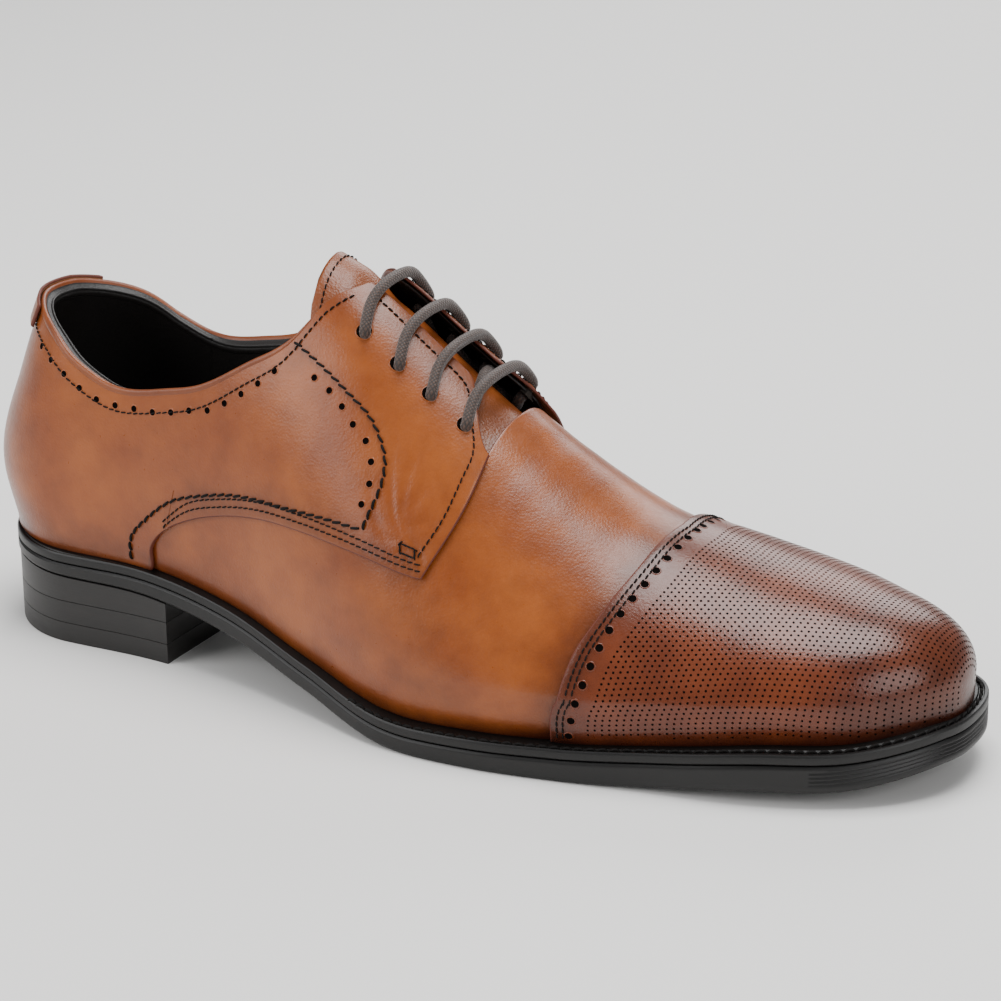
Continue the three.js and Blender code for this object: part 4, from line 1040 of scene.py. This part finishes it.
kid("heel_grip_kid", grip_patch, (120, 50), INNER, stands_for=["heel_grip"])
kid("vamp_lining_kid", vamp_lining_patch, (130, 120), INNER, closed=True, stands_for=["vamp_lining"])
for side_name, side in SIDES:
    def lining_patch(u, v, side=side):
        """One side between the heel grip and the vamp's lining, up to the topline."""
        x = SPLIT_BACK + FIT + (SPLIT_FRONT - SPLIT_BACK - FIT) * u
        return x, around_at(side, FEATHER + (topline(x) - FEATHER) * v)

    def stay_patch(u, v, side=side):
        """Strip behind the lace holes, from the tongue's root to the topline."""
        x = STAY_START * LENGTH + (STAY_END - STAY_START) * LENGTH * u
        return x, around_at(side, STAY_GIRTH + (facing_edge(x) - 0.03 - STAY_GIRTH) * v)

    kid(f"quarter_lining_kid_{side_name}", lining_patch, (60, 50), INNER, lifted=True,
        stands_for=[f"quarter_lining_{side_name}"])
    kid(f"facing_stay_kid_{side_name}", stay_patch, (60, 24), (MIDDLE[0] + 0.2, MIDDLE[1]), lifted=True,
        stands_for=[f"facing_stay_{side_name}"])

# ---------------------------------------------------------------- topline and heel tab
# The topline is bound: a strip of thin calf is folded over the leather and its lining, and sewn.
# A small tab of calf over the back seam keeps it from tearing when the shoe is pulled on.
BINDING = [(-1.2, -1.6), (-1.38, -1.2), (-1.4, -0.3), (-1.2, 0.25), (-0.7, 0.5), (-0.1, 0.4),
           (0.2, 0.0), (0.8, -0.15), (1.7, -0.1), (2.5, -0.3), (2.95, -0.9), (3.0, -2.0), (2.7, -2.5)]
BINDING_MIDDLE = 0.75
LINING_PART = 6
TAB = (-2.8, -1.8)
TAB_TO = 0.02 * LENGTH
TAB_HEIGHT = 6.0
# Calf skived thin for folding, a little darker and duller than the quarters beside it.
thin_calf = calf("thin_binding_calf", 0x834319, 0x6A300F, 0x3A1808, roughness=0.38)


def sleeve(rings):
    """Closed skin over rings of equally many points, with a point in the middle of each end."""
    count, sides = rings.shape[:2]
    points = np.concatenate([rings.reshape(-1, 3), rings[[0, -1]].mean(axis=1)])
    return points, outwards(points, capped_faces(count, sides))


# way goes from -1 at one facing's top, round the heel, to 1 at the other's; the ends taper.
way = np.sin(np.linspace(-np.pi / 2, np.pi / 2, 321))
x = BACK + (FACING_TOP - BACK) * way * way
around = around_at(way, topline(x))
below = around + np.where(way < 0, -0.01, 0.01)
upwards = unit(facing_point(x, around, 0) - facing_point(x, below, 0))
taper = np.sqrt(np.clip(1 - np.abs(way) ** 40, 0.02, 1))
rings = []
for inset, height in BINDING:
    depth = BINDING_MIDDLE + (inset - BINDING_MIDDLE) * taper
    rings.append(facing_point(x, around, depth) + upwards * (height * taper)[:, None])
points, faces = sleeve(np.stack(rings, axis=1))
section = np.arange(len(faces)) % len(BINDING)
build("topline_binding", points, faces, ([thin_calf, black_lining], (section >= LINING_PART).astype(int)),
      slot="tan_leather")


def tab_patch(u, v):
    """Over the back seam, from just under the topline's top edge down."""
    way = 2 * u - 1
    x = BACK + (TAB_TO - BACK) * way * way
    top = topline(x)
    low = girth_at(x, sole_top(x) + curve(TOPLINE, x / LENGTH) - TAB_HEIGHT)
    return x, around_at(way, low + (top - low) * v)


panel("heel_tab_calf", tab_patch, (60, 24), TAB, [thin_calf, *TAN_LAYERS[1:]], even=False,
      slot="tan_leather", stands_for=["heel_tab"])

# ---------------------------------------------------------------- sock liner
# Black kid glued over the insole board, skived thin at its edge, with a soft pad under the heel
# that stands half a millimetre proud and a stitched line across its front.
SOCK_INSET = INNER[1] + 0.4
SOCK_BOTTOM = SOCK_TOP - SOCK
PAD_END = 0.26 * LENGTH
PAD_HEIGHT = 0.5
PAD_BOW = 5.0
SKIVE = 0.35
SOCK_STITCH = 2.4


def sock_surface(x, v):
    """Top of the sock liner: v goes from -1 at the lateral edge to 1 at the medial one."""
    near, far = (last_point(x, around, SOCK_INSET) for around in (0, 4))
    flat = near + (far - near) * ((v + 1) / 2)[..., None]
    inside = np.minimum(PAD_END + PAD_BOW * (1 - v * v) - x, 16 * (0.93 - np.abs(v)))
    pad = PAD_HEIGHT * ease(0, 1.4, inside) * ease(2, 8, x - BACK)
    flat[..., 2] = sole_top(x) + SOCK_TOP - SKIVE * np.abs(v) ** 10 + pad
    return flat


def upright_marks(path, step, start, spare=0.0):
    """Places every step along a level path, from start to spare before its end, with its direction and
    straight up at each."""
    run = distance_along(path)
    at = np.arange(start, run[-1] - spare, step)
    here, after = (np.stack([np.interp(at + more, run, path[:, k]) for k in range(3)], axis=1)
                   for more in (0, 0.5))
    return here, unit(after - here), np.tile([0.0, 0, 1], (len(at), 1))


share = (1 - np.cos(np.pi * np.linspace(0, 1, 180))) / 2
x, v = np.meshgrid(BACK + 0.3 + (FRONT - BACK - 0.6) * share, np.linspace(-1, 1, 60), indexing="ij")
top = sock_surface(x, v)
under = top[:, ::-12].copy()
under[..., 2] = sole_top(x[:, ::-12]) + SOCK_BOTTOM
points, faces = sleeve(np.concatenate([top, under], axis=1))
build("sock_liner_kid", points, faces, black_lining, slot="lining_leather", stands_for=["sock_liner"])
v = np.linspace(-0.82, 0.82, 300)
seam = sock_surface(PAD_END + PAD_BOW * (1 - v * v) + 1.2, v)
# Undyed cotton gone grey, dull like all thread, which reads as a pale dotted line on the kid.
grey_thread = surface(new_material("grey_lining_thread"), Base_Color=srgb(0x4A4440), Roughness=0.8)
scatter("sock_stitches", FINE_STITCH, [upright_marks(seam, SOCK_STITCH, 1.0, 1.0)], grey_thread)

# ---------------------------------------------------------------- welt
# Strip of black rubber round the whole edge, which the upper is sewn to: it has a raised rim, and a
# channel along the front half in which the lockstitch of the sole lies.
SOLE_TOE_ROUND, SOLE_TOE_POWER = 70.0, 2.4
WELT = 3.0
WELT_REACH = 6.0
WELT_STITCH = 3.3
SEWN_FROM = 0.46 * LENGTH
OUTLINE_PLACES = 420
SHARP = math.radians(35)
black_rubber = new_material("black_sole_rubber")
place = node(black_rubber, "TexCoord")
# Moulded rubber, buffed: a fine tooth of 0.3 mm and a cloudy bloom over centimetres.
tooth = node(black_rubber, "TexNoise", [("Vector", place, "Object")], Scale=2600.0, Detail=2.0)
bloom = node(black_rubber, "TexNoise", [("Vector", place, "Object")], Scale=70.0, Detail=4.0)
rubber_tone = node(black_rubber, "ValToRGB", [("Fac", bloom, "Fac")])
rubber_tone.color_ramp.elements[0].color = srgb(0x080707)
rubber_tone.color_ramp.elements[1].color = srgb(0x121110)
rubber_relief = node(black_rubber, "Bump", [("Height", tooth, "Fac")], Strength=0.35, Distance=0.0001)
surface(black_rubber, [("Base Color", rubber_tone, "Color"), ("Normal", rubber_relief, "Normal")],
        Roughness=0.42, Specular_IOR_Level=0.4)


def sole_half(x, side, inset=0.0):
    """Half-width of the sole on one side, from the last's centre line."""
    half = along(LATERAL if side < 0 else MEDIAL, x) + along(SOLE_MARGIN, x) - inset
    return (half * round_end(x - inset, HEEL_ROUND + 1, 2)
            * round_end(LENGTH - inset - x, SOLE_TOE_ROUND, SOLE_TOE_POWER))


def outline(count, inset=0.0, breast=None):
    """Edge of the sole in plan: forwards along the lateral side and back along the medial side. With breast
    it stops there, and the straight edge across gets places of its own, close together at the corners."""
    if breast is None:
        x = inset + (LENGTH - 2 * inset) * (1 - np.cos(np.pi * np.linspace(0, 1, count))) / 2
        across = np.zeros((0, 2))
        back_row = slice(-2, 0, -1)
    else:
        share = np.concatenate([np.linspace(0, 1, count - 1) ** 2, [1 - 1e-3]])
        x = inset + (breast - inset) * np.sort(share)
        widths = [along(CENTRE, breast) + side * sole_half(breast, side, inset) for side in (-1, 1)]
        steps = np.concatenate([[0.002], np.linspace(0.05, 0.95, 19), [0.998]])
        across = np.stack([np.full(21, breast), widths[0] + (widths[1] - widths[0]) * steps], axis=1)
        back_row = slice(None, 0, -1)
    near, far = (np.stack([x, along(CENTRE, x) + side * sole_half(x, side, inset)], axis=1)
                 for side in (-1, 1))
    return np.concatenate([near, across, far[back_row]])


def edge_rings(loop, profile):
    """Rings that follow an outline: profile is (inwards, base, height) triples, where base is a height as a
    function of x, and inwards and height are millimetres or functions of x."""
    ahead = unit(np.roll(loop, -1, axis=0) - np.roll(loop, 1, axis=0))
    inwards = np.stack([-ahead[:, 1], ahead[:, 0]], axis=1)
    x = loop[:, 0]
    rings = []
    for inset, base, height in profile:
        inset, height = (value(x)[:, None] if callable(value) else np.full((len(x), 1), value)
                         for value in (inset, height))
        rings.append(np.concatenate([loop + inwards * inset, base(x)[:, None] + height], axis=1))
    return np.array(rings)


def margin(x):
    """Visible width of the welt."""
    return along(SOLE_MARGIN, x)


def share_of_margin(share, extra=0.0):
    """Distance in from the sole's edge as a share of the welt's visible width."""
    return lambda x: share * margin(x) + extra


def channel(x):
    """Depth of the stitch channel: only where the welt is wide enough to be sewn in sight."""
    return -0.35 * ease(1.2, 2.6, margin(x))


def ring_solid(name, rings, material, **facts):
    """Closed band from rings that follow each other round its section."""
    count, places = rings.shape[:2]
    number = np.concatenate([np.arange(count * places), np.arange(places)])
    faces = number[grid_faces(count + 1, places, wrap=True)]
    piece = build(name, rings.reshape(-1, 3), faces, material, **facts)
    piece.data.set_sharp_from_angle(angle=SHARP)
    return piece


WELT_PROFILE = [(share_of_margin(1, WELT_REACH), -WELT), (1.0, -WELT), (0.35, -2.85), (0.0, -2.45),
                (0.0, -0.75), (0.12, -0.3), (0.4, 0.0), (share_of_margin(0.24), 0.0),
                (share_of_margin(0.3), channel), (share_of_margin(0.6), channel),
                (share_of_margin(0.68), 0.0), (share_of_margin(1, 1.0), 0.05),
                (share_of_margin(1, WELT_REACH), 0.0)]
edge_loop = outline(OUTLINE_PLACES)
welt_rings = edge_rings(edge_loop, [(inset, sole_top, height) for inset, height in WELT_PROFILE])
ring_solid("welt_strip", welt_rings, black_rubber, slot="sole_rubber", stands_for=["welt"])

sewn = edge_rings(edge_loop, [(share_of_margin(0.45), sole_top, lambda x: channel(x) + 0.1)])[0]
sewn = sewn[sewn[:, 0] > SEWN_FROM]
scatter("welt_stitches", stitch_unit(2.9, 0.45, 0.15),
        [upright_marks(sewn, WELT_STITCH, WELT_STITCH / 2)], thread_black)

# ---------------------------------------------------------------- outsole
# Moulded rubber outsole, cemented under the welt: buffed edge with a fine seam under the welt, low
# ribs round the toe, a rounded bottom edge and a groove round the underside.
OUTSOLE_GROOVE = 0.6


def edge_top(x):
    """Top of the outsole, a hair under the welt."""
    return sole_top(x) - WELT - FIT


def rib(x):
    """Depth between the ribs round the toe."""
    return 0.28 * ease(0.84 * LENGTH, 0.93 * LENGTH, x)


def capped_solid(name, rings, material, half, **facts):
    """Closed solid from rings going up its wall; its bottom and top are closed straight across, between
    the two sides of an outline with half places on each."""
    count, places = rings.shape[:2]
    i = np.arange(half - 1)
    across = np.stack([i, i + 1, (places - i - 1) % places, (places - i) % places], axis=1)
    for row, (a, b) in ((0, (0, 3)), (half - 2, (1, 2))):
        if across[row, a] == across[row, b]:
            across[row] = [*across[row][[0, 1, 3 if row else 2]], -1]
    top = np.where(across < 0, -1, across + (count - 1) * places)
    faces = np.concatenate([grid_faces(count, places, wrap=True), turned_over(across), top])
    piece = build(name, rings.reshape(-1, 3), faces, material, **facts)
    piece.data.set_sharp_from_angle(angle=SHARP)
    return piece


wall = [(rib if step % 2 else 0.0, share) for step, share in enumerate(np.linspace(0.26, 0.86, 9))]
OUTSOLE_PROFILE = [(10.5, sole_bottom, 0.0), (10.1, sole_bottom, OUTSOLE_GROOVE),
                   (8.7, sole_bottom, OUTSOLE_GROOVE), (8.3, sole_bottom, 0.0), (1.3, sole_bottom, 0.0),
                   (0.5, sole_bottom, 0.25), (0.1, sole_bottom, 0.75),
                   *[(inset, sole_bottom, lambda x, share=share: share * (edge_top(x) - sole_bottom(x)))
                     for inset, share in wall],
                   (0.15, edge_top, -0.4), (0.55, edge_top, 0.0), (6.0, edge_top, 0.0)]
capped_solid("rubber_outsole", edge_rings(edge_loop, OUTSOLE_PROFILE), black_rubber, OUTLINE_PLACES,
             slot="sole_rubber", stands_for=["outsole"])

# ---------------------------------------------------------------- heel
# Block heel of two rubber lifts on a hard rubber top piece, nailed from inside. The stack is ground
# flush in one pass, which leaves fine level scratches and a thin line at each joint.
HEEL_LENGTH = 67.0
HEEL_INSET = 0.4
TOP_PIECE, LOWER_LIFT = 6.0, 6.5
LIFT_TOP = TOP_PIECE + FIT + LOWER_LIFT
heel_rubber = new_material("ground_heel_rubber")
place = node(heel_rubber, "TexCoord")
# Grinding marks 0.2 mm apart that run level round the stack.
level_marks = node(heel_rubber, "Mapping", [("Vector", place, "Object")], Scale=(60.0, 60.0, 3200.0))
scratch = node(heel_rubber, "TexNoise", [("Vector", level_marks, "Vector")], Scale=1.0, Detail=3.0)
heel_tone = node(heel_rubber, "ValToRGB", [("Fac", scratch, "Fac")])
heel_tone.color_ramp.elements[0].color = srgb(0x0C0B0A)
heel_tone.color_ramp.elements[1].color = srgb(0x1E1B19)
heel_relief = node(heel_rubber, "Bump", [("Height", scratch, "Fac")], Strength=0.3, Distance=0.0001)
surface(heel_rubber, [("Base Color", heel_tone, "Color"), ("Normal", heel_relief, "Normal")],
        Roughness=0.46)
heel_loop = outline(120, HEEL_INSET, HEEL_LENGTH)


def heel_block(name, low, high, **facts):
    """One layer of the heel between two heights, which are functions of x, with its edges eased."""
    profile = [(1.2, low, -0.12), (0.15, low, -0.12), (0.03, low, -0.05), (0.0, low, 0.1),
               (0.0, high, -0.1), (0.03, high, 0.05), (0.15, high, 0.12), (1.2, high, 0.12)]
    rings = edge_rings(heel_loop, profile)
    middles = []
    for ring, level_of in ((rings[0], low), (rings[-1], high)):
        middle = ring.mean(axis=0)
        middles.append([middle[0], middle[1], float(level_of(np.array([middle[0]]))[0])])
    points = np.concatenate([rings.reshape(-1, 3), middles])
    piece = build(name, points, capped_faces(*rings.shape[:2]), heel_rubber, slot="heel_rubber", **facts)
    piece.data.set_sharp_from_angle(angle=SHARP)
    return piece


heel_block("rubber_top_piece", lambda x: np.full_like(x, 0.12), lambda x: np.full_like(x, TOP_PIECE),
           stands_for=["heel_top_piece"])
heel_block("rubber_lower_lift", lambda x: np.full_like(x, TOP_PIECE + FIT),
           lambda x: np.full_like(x, LIFT_TOP), stands_for=["heel_lower_lift"])
heel_block("rubber_upper_lift", lambda x: np.full_like(x, LIFT_TOP + FIT),
           lambda x: sole_bottom(x) - FIT, stands_for=["heel_upper_lift"])

# ---------------------------------------------------------------- inside of the shoe
# What the shoe is built on, kept as it was packed: board, cork, fillers, counter, puff, shank and
# nails, of which little shows, and the blind eyelets under the facings.
INNARDS = {
    "cork": (0x9A6B41, 0.85, 350.0), "insole_board": (0x8D6A48, 0.8, 900.0),
    "stiffener": (0x8A7358, 0.8, 900.0), "eyelet_metal": (0x2A2623, 0.35, 1200.0),
    "nail_steel": (0x77726C, 0.35, 1500.0), "shank_steel": (0x6E6F72, 0.3, 1500.0)}
METALS = ("nail_steel", "shank_steel", "eyelet_metal")


def plain_stuff(name, colour, roughness, scale):
    """Stuff with a fine grain: fibre board, cork crumbs, or metal drawn and left as it came."""
    material = new_material("inner_" + name)
    place = node(material, "TexCoord")
    grain = node(material, "TexNoise", [("Vector", place, "Object")], Scale=scale, Detail=3.0)
    shade = node(material, "HueSaturation", Color=srgb(colour))
    change = node(material, "Math", [(0, grain, "Fac")], operation="MULTIPLY_ADD", i1=0.8, i2=0.6)
    material.node_tree.links.new(change.outputs[0], shade.inputs["Value"])
    relief = node(material, "Bump", [("Height", grain, "Fac")], Strength=0.4, Distance=0.0002)
    return surface(material, [("Base Color", shade, "Color"), ("Normal", relief, "Normal")],
                   Roughness=roughness, Metallic=float(name in METALS))


stuff = {name: plain_stuff(name, *values) for name, values in INNARDS.items()}
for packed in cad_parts.values():
    for place in packed.material_slots:
        named = place.material.name.split(".")[0]
        if named in stuff:
            place.material = stuff[named]
